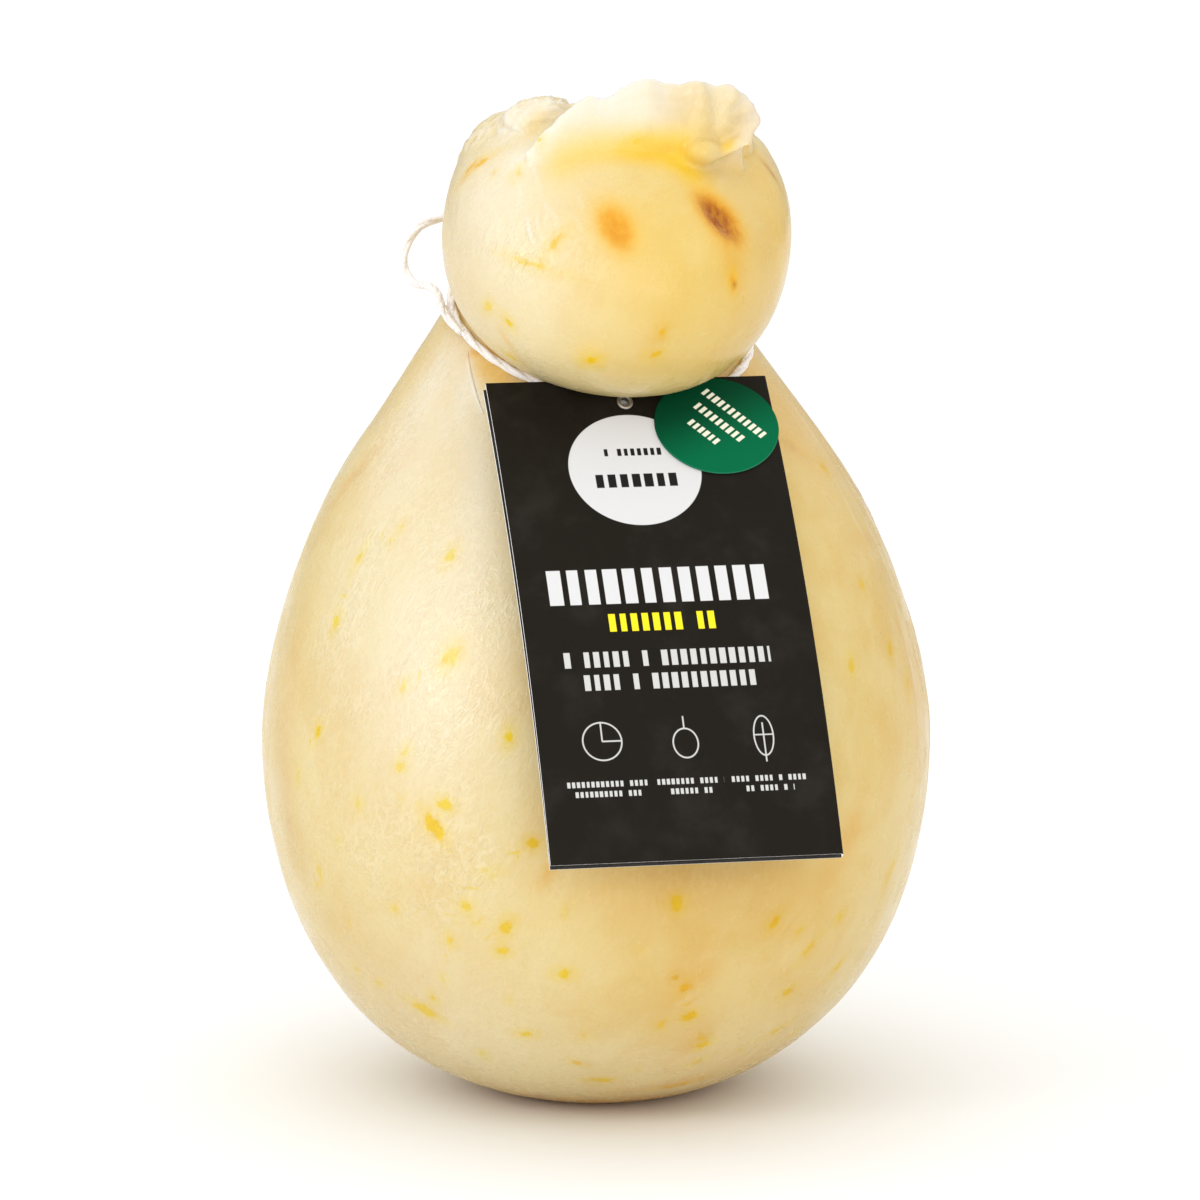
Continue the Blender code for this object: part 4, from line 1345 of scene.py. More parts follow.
@dataclass(frozen=True)
class SkinRelief:
    """The skin's own lumps, folds and crinkles. Heights, sizes and levels are in millimetres.

    A pair of levels says where something starts to show and where it shows in full.
    """

    lump_height: float = 0.38
    lump_size: float = 34.0
    ripple_height: float = 0.10
    ripple_size: Point = (9.0, 9.0, 16.0)
    grain_height: float = 0.075
    grain_size: Point = (2.6, 2.6, 6.5)
    patch_size: float = 26.0
    crown_levels: Pair = (214.5, 219.5)
    crown_fall: float = 0.35
    crown_middle: float = -40.0
    crown_front: Pair = (-47.0, -43.0)
    head_levels: Pair = (172.0, 184.0)
    behind: Pair = (-32.0, -18.0)
    knot_size: float = 5.5
    fine_size: Point = (3.4, 3.4, 2.2)
    fine_sharpness: float = 2.6
    fine_side: Pair = (2.0, -4.0)
    broad_size: Point = (11.0, 7.0, 7.0)
    lit_middle: float = -6.0
    lit_blend: float = 9.0
    low_levels: Pair = (35.0, 70.0)
    left_rim: Pair = (-1.0, -0.7)
    chin_level: float = 178.0
    chin_blend: float = 9.0
    right_side: Pair = (15.0, 45.0)
    right_levels: Pair = (80.0, 50.0)

    def patches(self, spots: np.ndarray) -> np.ndarray:
        """Where the skin is more wrinkled than elsewhere, from -1 to 1."""
        x, y, z = (spots / self.patch_size).T
        return noise_at(x + 3.0, y, z + 9.0)

    def rise(self, spots: np.ndarray) -> tuple[np.ndarray, np.ndarray]:
        """How far the skin is raised.

        Args:
            spots: rows of x, y, z in millimetres.

        Returns:
            The rise in millimetres, and the crests of the crumpled crown from 0 to 1.
        """
        x, y, z = spots.T
        lumps = self.lump_height * noise_at(*(spots / self.lump_size).T)
        ripple = self.ripple_height * noise_at(*(spots / self.ripple_size).T)
        grain = noise_at(*(spots / self.grain_size + (0.0, 0.0, 7.0)).T)
        folds = self.grain_height * np.maximum(0.0, 0.5 + self.patches(spots)) * grain
        crown = ramp(z + self.crown_fall * (y - self.crown_middle), *self.crown_levels)
        crown *= ramp(z, *self.head_levels) * ramp(y, *self.crown_front)
        behind = ramp(y, *self.behind)
        knots = np.abs(noise_at(*(spots / self.knot_size).T))
        fine = 1.0 - self.fine_sharpness * np.abs(noise_at(*(spots / self.fine_size).T))
        fine = np.maximum(0.0, fine) * ramp(x, *self.fine_side)
        broad = np.maximum(0.0, noise_at(*(spots / self.broad_size + (5.0, 0.0, 0.0)).T)) * behind
        crumpled = (0.9 - 0.4 * behind) * knots + fine * (0.80 - 0.74 * behind) + 1.1 * broad
        crests = crown * (fine * (1.0 - 0.93 * behind) + 0.3 * broad)
        return lumps + ripple + folds + crown * crumpled, crests

    def crinkle(self, spots: np.ndarray, normals: np.ndarray) -> np.ndarray:
        """How strongly the film's fine crinkles and their painted glints show: most of all on the lit left
        side.

        Args:
            spots: rows of x, y, z in millimetres.
            normals: rows of outward directions.

        Returns:
            A share for each row. It is small low down, at the left rim, under the chin and low
            at the right.
        """
        x, _, z = spots.T
        left = 1.0 / (1.0 + np.exp((x - self.lit_middle) / self.lit_blend))
        patchy = np.maximum(0.0, self.patches(spots) + 0.05) * (0.25 + left)
        share = (0.10 + 0.62 * left + 0.7 * patchy) * (0.45 + 0.55 * ramp(z, *self.low_levels))
        share *= np.maximum(0.35, ramp(normals[:, 0], *self.left_rim))
        share *= 1.0 - 0.65 * np.exp(-((z - self.chin_level) / self.chin_blend) ** 2)
        return share * (1.0 - 0.6 * ramp(x, *self.right_side) * ramp(z, *self.right_levels))


@dataclass
class Cheese:
    """Body, head, nape and torn closure, as one skin.

    Sizes with MM are in metres. Those without it are in millimetres, from the head's centre.
    """

    belly_radius: float = 75.4 * MM
    belly_height: float = 79.6 * MM
    settled: float = 1.7 * MM
    underside_powers: Pair = (2.13, 2.29)
    belly_handle: float = 19.3 * MM
    shoulder_handle: float = 28.0 * MM
    cone_angle: float = math.radians(35.0)
    cone_start: float = 148.8 * MM
    neck_height: float = 180.0 * MM
    neck_radius: float = 29.9 * MM
    cone_top: float = 196.0 * MM
    neck_lean: float = 1.8 * MM
    lean_span: float = 90.0 * MM
    neck_flatness: float = 0.10
    flatness_span: float = 85.0 * MM
    segments: int = 288
    outline_steps: int = 160
    crowding: float = 0.45
    crowded_at: float = math.radians(-16.0)
    ring_gap: float = 1.7 * MM
    head_centre: Point = (4.7 * MM, -30.0 * MM, 195.7 * MM)
    head_half: Point = (37.8, 42.5, 29.1)
    head_power: float = 2.17
    head_droop: float = math.radians(30.0)
    head_roll: float = math.radians(8.6)
    top_level: float = 27.5
    top_fall: float = 0.14
    top_softness: float = 2.0
    pit_centre: Point = (7.0, 0.0, 26.0)
    pit_spread: float = 13.0
    pit_depth: float = 8.0
    nape_centre: Point = (3.2 * MM, -6.0 * MM, 198.5 * MM)
    nape_half: Point = (34.0 * MM, 33.0 * MM, 20.5 * MM)
    nape_tilt: float = math.radians(25.0)
    voxel: float = 0.62 * MM
    lip_rungs: tuple[tuple[Point, Point], ...] = (
        # the sheet's foot on the head, and its edge
        ((-19.0, -22.5, 15.5), (-20.0, -25.0, 18.2)), ((-16.0, -23.0, 16.5), (-16.5, -24.0, 21.9)),
        ((-12.0, -23.0, 17.2), (-12.3, -22.0, 25.9)), ((-6.5, -22.5, 17.8), (-6.8, -20.0, 29.9)),
        ((-2.5, -22.5, 18.0), (-3.2, -20.3, 29.5)), ((1.5, -22.0, 18.0), (0.6, -20.0, 31.9)),
        ((6.0, -21.5, 17.9), (5.8, -20.0, 34.0)), ((11.0, -20.5, 17.5), (12.0, -18.6, 32.6)),
        ((15.3, -19.4, 17.0), (16.8, -20.4, 33.7)), ((18.3, -18.1, 16.7), (20.1, -18.6, 32.6)),
        ((20.5, -16.8, 16.6), (23.2, -18.6, 33.0)), ((22.6, -15.8, 16.6), (26.8, -17.4, 30.7)),
        ((24.2, -15.2, 16.5), (29.2, -18.0, 27.4)), ((25.2, -15.2, 16.0), (28.8, -20.2, 24.0)),
        ((25.4, -16.0, 15.5), (26.6, -22.4, 20.8)), ((23.8, -17.2, 15.2), (23.0, -23.0, 18.6)),
        ((22.2, -18.0, 15.2), (21.4, -22.6, 17.6)),
    )
    fan_centre: Pair = (19.7, 25.0)
    fan_start: float = math.radians(-7.0)
    fan_step: float = math.radians(31.5)
    fan_depth: float = 0.9
    fan_reach: float = 6.0
    lip_levels: int = 16
    lip_foot: float = 5.0
    lip_foot_to_rise: float = 0.42
    lip_edge: float = 1.6
    pleat_edge: float = 3.0
    pleat_start: float = 8.0
    pleat_span: float = 10.0
    lip_bead: float = 0.45
    lip_hollow: float = 1.6
    lip_curl: float = 1.8
    lip_full_rise: float = 9.0
    lip_ragged: tuple[Pair, ...] = ((0.55, 0.6), (1.3, 0.2))
    lip_wave: float = 0.7
    lip_uneven: float = 0.2
    bead_at: float = 0.93
    bead_spread: float = 0.06
    round_from: float = 0.92
    valley_reach: Pair = (7.0, 3.0)
    seam_at: float = 14.0
    soft_crown: Pair = (17.0, 20.0)
    soft_behind_lip: Pair = (-17.0, -13.0)
    pale_reach: float = 3.4
    pale_most: float = 0.92
    pale_above: float = 12.0
    pale_before: float = -10.0
    knob_reach: float = 3.6
    lobes: tuple[tuple[Point, Point, float], ...] = (
        ((-15.6, -8.0, 24.0), (9.0, 7.5, 4.9), 20.0), ((-8.6, -10.0, 22.7), (6.0, 6.5, 4.2), -35.0),
        ((17.6, -22.2, 18.6), (4.1, 3.8, 2.9), -10.0), ((24.2, -16.8, 16.8), (2.8, 2.0, 1.8), -25.0),
        ((-8.5, 3.5, 23.4), (8.0, 8.5, 3.8), -40.0), ((4.5, 11.5, 23.6), (11.0, 6.5, 4.6), 8.0),
        ((16.5, 6.0, 22.6), (9.5, 7.5, 4.8), -38.0), ((23.0, -6.0, 19.4), (6.0, 9.5, 4.6), -8.0),
    )
    still_foot: float = 2.5 * MM
    crease_height: float = 180.2 * MM
    crease_forward: float = 0.474
    crease_side: float = -0.1265
    crease_reach: float = 4.2 * MM
    # how much painted shade, as warm tint, the crease under the head and the foot get
    crease_shade: float = 0.34
    foot_shade: float = 0.85
    fold_path: tuple[Pair, ...] = (
        (468, 350), (468, 360), (470, 374), (474, 390), (479, 404), (484, 415))
    fold_half: float = 0.62 * MM
    fold_rise: float = 0.42 * MM
    fold_sides: int = 12
    fold_gap: float = 0.3 * MM
    # a painted highlight along the fold's crest: no rise, its half width and its share of pale
    fold_highlight: tuple[float, float, float] = (0.0, 0.75, 0.95)
    # how much painted highlight the crown's crumpled crests get
    crown_highlight: float = 0.55
    relief: SkinRelief = SkinRelief()
    finish: RindFinish = RindFinish()

    def cone_radius(self, height: float) -> float:
        """The radius of the straight cone at a height."""
        return self.neck_radius + (self.neck_height - height) * math.tan(self.cone_angle)

    def profile(self) -> list[Pair]:
        """Draw the body's outline from the flat spot up, cut into rings.

        Returns:
            Their radii and heights, in metres.
        """
        high, low = self.underside_powers
        line = []
        steps = self.outline_steps
        for i in range(steps):
            height = self.belly_height * (1.0 - math.cos(math.pi / 2 * i / steps))
            share = ((self.belly_height - height) / (self.belly_height + self.settled)) ** high
            line.append(Vector((self.belly_radius * (1.0 - share) ** (1.0 / low), height, 0.0)))
        start = Vector((self.belly_radius, self.belly_height, 0.0))
        end = Vector((self.cone_radius(self.cone_start), self.cone_start, 0.0))
        up = start + Vector((0.0, self.belly_handle, 0.0))
        down = end + Vector((math.sin(self.cone_angle), -math.cos(self.cone_angle), 0.0)) \
            * self.shoulder_handle
        for i in range(steps):
            t = i / steps
            s = 1.0 - t
            line.append(start * s ** 3 + up * (3 * s * s * t) + down * (3 * s * t * t) + end * t ** 3)
        line += [end, Vector((self.cone_radius(self.cone_top), self.cone_top, 0.0))]
        return [(p.x, p.y) for p in evenly(line, self.ring_gap)]

    def body(self) -> Object:
        """Raise the body ring by ring from its flat spot, then lean and flatten its neck.

        Returns:
            The body, closed inside the head.
        """
        rings = self.profile()
        settle()
        bpy.ops.mesh.primitive_circle_add(vertices=self.segments, radius=rings[0][0],
                                          fill_type="NGON", location=(0.0, 0.0, 0.0))
        body = named("cheese_skin")
        bpy.ops.object.mode_set(mode="EDIT")
        bpy.ops.mesh.select_all(action="SELECT")
        for (radius, height), (wider, higher) in zip(rings, rings[1:]):
            bpy.ops.mesh.extrude_region_move(TRANSFORM_OT_translate={"value": (0.0, 0.0, higher - height)})
            grow = wider / radius
            bpy.ops.transform.resize(value=(grow, grow, 1.0), center_override=(0.0, 0.0, 0.0))
        bpy.ops.object.mode_set(mode="OBJECT")
        outward(body)
        points = positions(body)
        angle = np.arctan2(points[:, 1], points[:, 0])
        angle -= self.crowding * np.sin(angle - self.crowded_at)
        radius = np.hypot(points[:, 0], points[:, 1])
        points[:, 0], points[:, 1] = radius * np.cos(angle), radius * np.sin(angle)
        above = np.maximum(points[:, 2] - self.belly_height, 0.0)
        points[:, 0] -= self.neck_lean * (above / self.lean_span) ** 2
        points[:, 1] *= 1.0 - self.neck_flatness * np.minimum(above / self.flatness_span, 1.0)
        place_vertices(body, points)
        return body

    def ball(self, name: str, centre: Point, half: Point, turn: Matrix, segments: int = 48) -> Object:
        """Make a ball of three half sizes.

        Args:
            name: the object's name.
            centre: where its middle is.
            half: its half sizes.
            turn: how it is turned.
            segments: how many segments go round it.

        Returns:
            The ball, with its place in its mesh.
        """
        settle()
        bpy.ops.mesh.primitive_uv_sphere_add(segments=segments, ring_count=segments // 2, radius=1.0)
        obj = named(name)
        obj.matrix_world = Matrix.Translation(centre) @ turn.to_4x4() @ Matrix.Diagonal((*half, 1.0))
        bake_place(obj)
        return obj

    def head(self) -> Object:
        """Shape the head's ball.

        Returns:
            The ball: squarish, drooping forward, pressed flat and hollow on top.
        """
        turn = (Matrix.Rotation(self.head_roll, 3, "Y") @ Matrix.Rotation(self.head_droop, 3, "X"))
        head = self.ball("head", (0.0, 0.0, 0.0), (1.0, 1.0, 1.0), Matrix.Identity(3), 128)
        way = positions(head)
        reach = (np.abs(way / np.array(self.head_half)) ** self.head_power).sum(axis=1)
        points = (way * (reach ** (-1.0 / self.head_power))[:, None]) @ np.array(turn).T
        above = (points[:, 2] - self.top_level + self.top_fall * points[:, 1]) / self.top_softness
        points[:, 2] -= self.top_softness * np.log1p(np.exp(above))
        from_pit = np.linalg.norm(points - np.array(self.pit_centre), axis=1) / self.pit_spread
        points[:, 2] -= self.pit_depth * np.exp(-from_pit ** 2)
        place_vertices(head, points * MM + np.array(self.head_centre))
        return head

    def lip(self) -> Object:
        """The torn lip: a ruffled sheet that thins towards its uneven edge and curls at the right.

        Returns:
            The lip, closed, with its foot inside the head.
        """
        feet = through([foot for foot, _ in self.lip_rungs], 8)
        edges = through([edge for _, edge in self.lip_rungs], 8)
        centre = Vector(self.head_centre)
        rings = []
        for i, (foot, edge) in enumerate(zip(feet, edges)):
            before, after = max(i - 1, 0), min(i + 1, len(feet) - 1)
            along = feet[after] - feet[before] + edges[after] - edges[before]
            ragged = sum(noise.noise(edge * scale) * depth for scale, depth in self.lip_ragged)
            edge = edge + (edge - foot).normalized() * ragged
            rise = edge - foot
            out = along.cross(rise).normalized()
            thick = min(self.lip_foot, self.lip_foot_to_rise * rise.length)
            pleated = self.pleated(edge.x)
            thin = min(self.lip_edge + (self.pleat_edge - self.lip_edge) * pleated, thick)
            curl = self.lip_hollow + self.lip_curl * max(0.0, 3.0 * i / len(feet) - 2.0)
            front, back = [], []
            for level in range(self.lip_levels + 1):
                t = level / self.lip_levels
                bow = curl * math.sin(math.pi * t) * min(1.0, rise.length / self.lip_full_rise)
                middle = foot + rise * t + out * bow
                middle += out * (self.fan(middle) + self.lip_wave * t * noise.noise(
                    Vector((middle.x * 0.24, middle.z * 0.10, 3.0))))
                half = 0.5 * (thick * (1 - t) ** 1.3 + thin * t ** 0.8)
                half += self.lip_uneven * noise.noise(middle * 0.5)
                bead = math.exp(-((t - self.bead_at) / self.bead_spread) ** 2)
                half += 0.5 * self.lip_bead * bead
                past = max(0.0, (t - self.round_from) / (1.0 - self.round_from))
                half *= math.sqrt(max(0.12, 1.0 - past ** 2))
                front.append(centre + (middle - out * half) * MM)
                back.append(centre + (middle + out * half) * MM)
            rings.append(front + list(reversed(back)))
        return loft("lip", rings)

    def pleated(self, across: float) -> float:
        """How much a place on the lip belongs to its pleated right end, from 0 to 1."""
        return float(ramp(across, self.pleat_start, self.pleat_start + self.pleat_span))

    def fan(self, point: Vector) -> float:
        """Fold the lip's right end like a fan.

        Args:
            point: a point of the sheet, in millimetres from the head's centre.

        Returns:
            How far the folds that fan out there push the sheet back, in millimetres.
        """
        across, up = point.x - self.fan_centre[0], point.z - self.fan_centre[1]
        angle = math.atan2(across, up) - self.fan_start
        if not -0.6 * self.fan_step < angle < math.pi * 0.75:
            return 0.0
        reach = min(1.0, math.hypot(across, up) / self.fan_reach)
        wave = math.cos(2.0 * math.pi * angle / self.fan_step)
        return -self.fan_depth * reach * (0.6 * wave + 0.4 * abs(wave))

    def closure(self) -> Object:
        """Melt the head's parts together.

        Returns:
            Head, nape, lobes and lip in one skin, with a soft valley at the lip's foot.
        """
        head = self.head()
        parts = [self.ball("nape", self.nape_centre, self.nape_half,
                           Matrix.Rotation(self.nape_tilt, 3, "X"), 96), self.lip()]
        for centre, half, turn in self.lobes:
            place = Vector(self.head_centre) + Vector(centre) * MM
            parts.append(self.ball("lobe", tuple(place), tuple(h * MM for h in half),
                                   Matrix.Rotation(math.radians(turn), 3, "Z")))
        join(head, parts)
        apply_modifier(head, "REMESH", mode="VOXEL", voxel_size=self.voxel, adaptivity=0.0)
        self.soften(head)
        return head

    def soften(self, head: Object) -> None:
        """Smooth the melted skin: a little all over, and much more in the valley and creases.

        Args:
            head: the melted skin.
        """
        points = (positions(head) - np.array(self.head_centre)) / MM
        _, forward, up = points.T
        feet = np.array([tuple(foot) for foot in through([f for f, _ in self.lip_rungs], 4)])
        away = np.sqrt(((points[:, None, :] - feet[None]) ** 2).sum(axis=2)).min(axis=1)
        valley = ramp(away, *self.valley_reach)
        seam = ramp(np.abs(forward - self.seam_at), self.seam_at, 0.0)
        crown = ramp(up, *self.soft_crown) * ramp(forward, *self.soft_behind_lip)
        weights = np.maximum(valley, np.maximum(seam, crown * 0.9))
        group = head.vertex_groups.new(name="soft")
        for index, weight in enumerate(weights):
            if weight > 0.01:
                group.add((index,), float(weight), "REPLACE")
        apply_modifier(head, "SMOOTH", factor=0.5, iterations=30, vertex_group="soft")
        apply_modifier(head, "SMOOTH", factor=0.5, iterations=4)
        head.vertex_groups.clear()

    def raise_relief(self, skin: Object) -> tuple[np.ndarray, np.ndarray]:
        """Raise the skin's own lumps and folds, but not on its flat spot.

        Args:
            skin: the joined skin.

        Returns:
            How strongly the fine crinkles show, and the crests of the crumpled crown, for each
            vertex.
        """
        points, normals = positions(skin), vertex_normals(skin)
        raised, crests = self.relief.rise(points / MM)
        raised *= ramp(points[:, 2], 0.0, self.still_foot)
        place_vertices(skin, points + normals * (raised * MM)[:, None])
        return self.relief.crinkle(points / MM, normals), crests

    def fold(self, skin: Object, lens: Lens) -> Object:
        """The thin fold of skin beside the tag, a tapering crest that is set into the body.

        Args:
            skin: the body that it lies on.
            lens: the camera, through which its line is placed.

        Returns:
            The crest, closed.
        """
        marks = Skin(skin, lens)
        seen = [marks.seen_at(*spot) for spot in self.fold_path]
        line = evenly(through([place for place, _ in seen], 8), self.fold_gap)
        out = seen[len(seen) // 2][1]
        rings = []
        for i, point in enumerate(line):
            share = math.sin(math.pi * (i + 0.5) / len(line)) ** 0.5
            ahead = line[min(i + 1, len(line) - 1)] - line[max(i - 1, 0)]
            side = ahead.normalized().cross(out) * self.fold_half * share
            rise = out * self.fold_rise * share
            bearings = [2 * math.pi * k / self.fold_sides for k in range(self.fold_sides)]
            rings.append([point + side * math.cos(a) + rise * math.sin(a) for a in bearings])
        return loft("fold", rings)

    def build(self, lens: Lens, slots: list[Object]) -> Object:
        """Model, mark and dress the cheese.

        Args:
            lens: the camera, through which marks are placed.
            slots: closed forms that the skin leaves room for.

        Returns:
            The finished piece.
        """
        skin = self.body()
        combine(skin, self.closure(), "UNION")
        combine(skin, self.fold(skin, lens), "UNION")
        crinkle, crests = self.raise_relief(skin)
        marks = Skin(skin, lens)
        # painted highlights along the fold's crest and on the crown's crumpled crests
        marks.ridge(Ridge(self.fold_path, *self.fold_highlight))
        marks.tints[PALE] += self.crown_highlight * np.clip(crests, 0.0, 1.0)
        for ridge in RIDGES:
            marks.ridge(ridge)
        marks.films(FilmEdges())
        for stain in STAINS:
            marks.stain(stain)
        # painted shade in the crease under the head and at the foot
        marks.crease((self.crease_height, self.crease_side, self.crease_forward),
                     self.crease_reach, self.crease_shade, self.foot_shade)
        for peel in PEELS:
            place, normal = marks.seen_at(peel.column, peel.row)
            marks.peel(place, normal, lens.up(), peel)
        marks.hidden_side(HiddenPeel())
        self.paint_lip(marks, crinkle)
        marks.finish(crinkle)
        for slot in slots:
            combine(skin, slot, "DIFFERENCE")
        skin.data.materials.clear()
        skin.data.materials.append(self.finish.build())
        skin.data.polygons.foreach_set("material_index", [0] * len(skin.data.polygons))
        smooth_shade(skin)
        dress(skin, "cheese")
        return skin

    def paint_lip(self, marks: Skin, crinkle: np.ndarray) -> None:
        """Turn the thin lip pale, most of all near its edge, and finely wrinkled at its right, with
        painted glints on the wrinkles.

        Args:
            marks: the skin's marks, before they are finished.
            crinkle: how strongly the fine crinkles show, which is changed in place.
        """
        feet = through([foot for foot, _ in self.lip_rungs], 4)
        edges = through([edge for _, edge in self.lip_rungs], 4)
        pale = np.zeros(len(marks.points))
        local = (marks.points - np.array(self.head_centre)) / MM
        near = (local[:, 2] > self.pale_above) & (local[:, 1] < self.pale_before)
        for i, (foot, edge) in enumerate(zip(feet, edges)):
            from_end = (len(feet) - 1 - i) / 12.0
            most = (1.0 - 0.20 * self.pleated(edge.x)) * (0.3 + 0.7 * ramp(from_end, 0.2, 1.2))
            for t in (0.25, 0.4, 0.55, 0.7, 0.85, 1.0):
                away = np.linalg.norm(local[near] - np.array(foot.lerp(edge, t)), axis=1)
                share = min(1.0, 2.0 * (t - 0.1)) * most * np.exp(-(away / self.pale_reach) ** 2)
                pale[near] = np.maximum(pale[near], share)
        layer = marks.tints[PALE]
        layer += (1.0 - layer) * np.clip(pale, 0.0, self.pale_most)
        pleated = ramp(local[:, 0], self.pleat_start, self.pleat_start + self.pleat_span)
        crinkle[:] = np.maximum(crinkle, 1.1 * pleated * np.clip(pale, 0.0, 1.0))
        knob = self.lobes[2][0]
        from_knob = np.linalg.norm(local - np.array(knob), axis=1) / self.knob_reach
        marks.tints[YELLOW] *= 1.0 - 0.9 * np.exp(-from_knob ** 4)


# ---- twine


@dataclass
class Twine:
    """The tie in the crease under the head, its knot at the back and the free loop at the left."""

    radius: float = 0.95 * MM
    stand_off: float = 1.3 * MM
    channel_radius: float = 1.25 * MM
    tie_height: float = 180.2 * MM
    forward_slope: float = 0.474
    side_slope: float = -0.1265
    back_gap: float = math.radians(9.5)
    knot_half_depth: float = 2.7 * MM
    knot_gap: float = 0.35 * MM
    knot_swings: Point = (0.85 * MM, 0.62 * MM, 0.9 * MM)
    knot_steps: int = 96
    tie_steps: int = 240
    tube: float = 0.1
    strands: int = 3
    strand_radius: float = 0.62 * MM
    strand_offset: float = 0.36 * MM
    strand_gap: float = 0.42 * MM
    strand_sides: int = 7
    strand_uneven: float = 0.14
    lay_length: float = 21.0 * MM
    loop_entry: tuple[Point, ...] = (
        (-29.2, -21.7, 173.7), (-31.2, -19.3, 175.2), (-32.7, -17.0, 176.6), (-33.6, -15.1, 177.9),
        (-34.0, -13.8, 178.6), (-34.1, -13.1, 178.85))
    loop_route: tuple[Point, ...] = (
        (-34.0, -13.8, 178.6), (-34.6, -9.3, 180.2), (-35.5, -3.8, 181.2), (-36.7, 2.2, 181.8),
        (-38.8, 6.0, 182.2), (-41.3, 9.0, 182.7), (-43.2, 12.0, 185.1), (-43.4, 14.0, 188.4),
        (-42.2, 16.0, 192.0), (-39.3, 18.5, 195.0), (-35.2, 21.0, 196.4), (-29.0, 24.5, 196.8),
        (-21.5, 27.5, 195.6), (-13.5, 28.6, 193.6), (-5.6, 28.2, 192.2))
    finish: TwineFinish = TwineFinish()

    def tie_point(self, cheese: Cheese, angle: float) -> Vector:
        """Find a point of the tie.

        Args:
            cheese: the cheese that it lies on.
            angle: its bearing about the upright axis.

        Returns:
            A point on the tie's tilted plane and just off the neck's skin.
        """
        height = cheese.neck_height
        for _ in range(40):
            radius = cheese.cone_radius(height) + self.stand_off / math.cos(cheese.cone_angle)
            above = height - cheese.belly_height
            flat = 1.0 - cheese.neck_flatness * min(1.0, above / cheese.flatness_span)
            x = radius * math.cos(angle) - cheese.neck_lean * (above / cheese.lean_span) ** 2
            y = radius * math.sin(angle) * flat
            height = self.tie_height + self.forward_slope * y + self.side_slope * x
        return Vector((x, y, height))

    def strand_mesh(self, name: str, line: list[Vector]) -> Object:
        """Twisted strands along a line.

        Args:
            name: the piece's name.
            line: the cord's centre line.

        Returns:
            One object that holds every strand.
        """
        line = evenly(line, self.strand_gap)
        frames = []
        side = (line[1] - line[0]).orthogonal().normalized()
        for i, point in enumerate(line):
            ahead = line[min(i + 1, len(line) - 1)] - line[max(i - 1, 0)]
            along = ahead.normalized()
            side = (side - along * side.dot(along)).normalized()
            frames.append((point, side.copy(), along.cross(side)))
        strands = []
        for strand in range(self.strands):
            rings, reach = [], 0.0
            for i, (point, side, over) in enumerate(frames):
                if i:
                    reach += (point - frames[i - 1][0]).length
                turn = 2 * math.pi * (strand / self.strands + reach / self.lay_length)
                way = side * math.cos(turn) + over * math.sin(turn)
                uneven = noise.noise(point * 400.0 + Vector((strand, 0.0, 0.0)))
                radius = self.strand_radius * (1.0 + self.strand_uneven * uneven)
                centre = point + way * self.strand_offset
                bearings = [2 * math.pi * k / self.strand_sides for k in range(self.strand_sides)]
                rings.append([centre + (side * math.cos(a) + over * math.sin(a)) * radius
                              for a in bearings])
            strands.append(rings)
        obj = loft(name, *strands)
        smooth_shade(obj, 70.0)
        return obj

    def channel(self, cheese: Cheese) -> Object:
        """Make the room that the skin leaves for the tie.

        Args:
            cheese: the cheese that the tie lies on.

        Returns:
            A closed ring of tube along the tie.
        """
        settle()
        bpy.ops.mesh.primitive_torus_add(major_segments=128, minor_segments=12, major_radius=1.0,
                                         minor_radius=self.tube)
        ring = named("tie_channel")
        points = positions(ring)
        for i, (x, y, z) in enumerate(points):
            angle = math.atan2(y, x)
            middle = self.tie_point(cheese, angle)
            ahead = (self.tie_point(cheese, angle + 0.01) - middle).normalized()
            side = ahead.cross(Vector((0.0, 0.0, 1.0))).normalized()
            out, up = (math.hypot(x, y) - 1.0) / self.tube, z / self.tube
            points[i] = middle + (side * out + side.cross(ahead) * up) * self.channel_radius
        place_vertices(ring, points)
        outward(ring)
        return ring

    def build(self, cheese: Cheese) -> None:
        """Lay the tie, the loop and the knot.

        Args:
            cheese: the cheese that they lie on.
        """
        material = self.finish.build()
        turn = 2 * math.pi - 2 * self.back_gap
        tie_line = [self.tie_point(cheese, math.pi / 2 + self.back_gap + turn * i / self.tie_steps)
                    for i in range(self.tie_steps + 1)]
        tie = self.strand_mesh("twine_around_neck", tie_line)
        loop_line = evenly(through([Vector(p) * MM for p in self.loop_route], 16), 1.0 * MM)
        loop = self.strand_mesh("twine_free_loop", loop_line)
        entry_line = through([Vector(p) * MM for p in self.loop_entry], 8)
        join(tie, [self.strand_mesh("twine_entry", entry_line)])
        knot = self.knot(cheese, (tie_line[0], tie_line[-1], loop_line[-1]))
        for piece, node in ((tie, "twine_tie"), (loop, "twine_loop"), (knot, "twine_knot")):
            piece.data.materials.append(material)
            dress(piece, node)

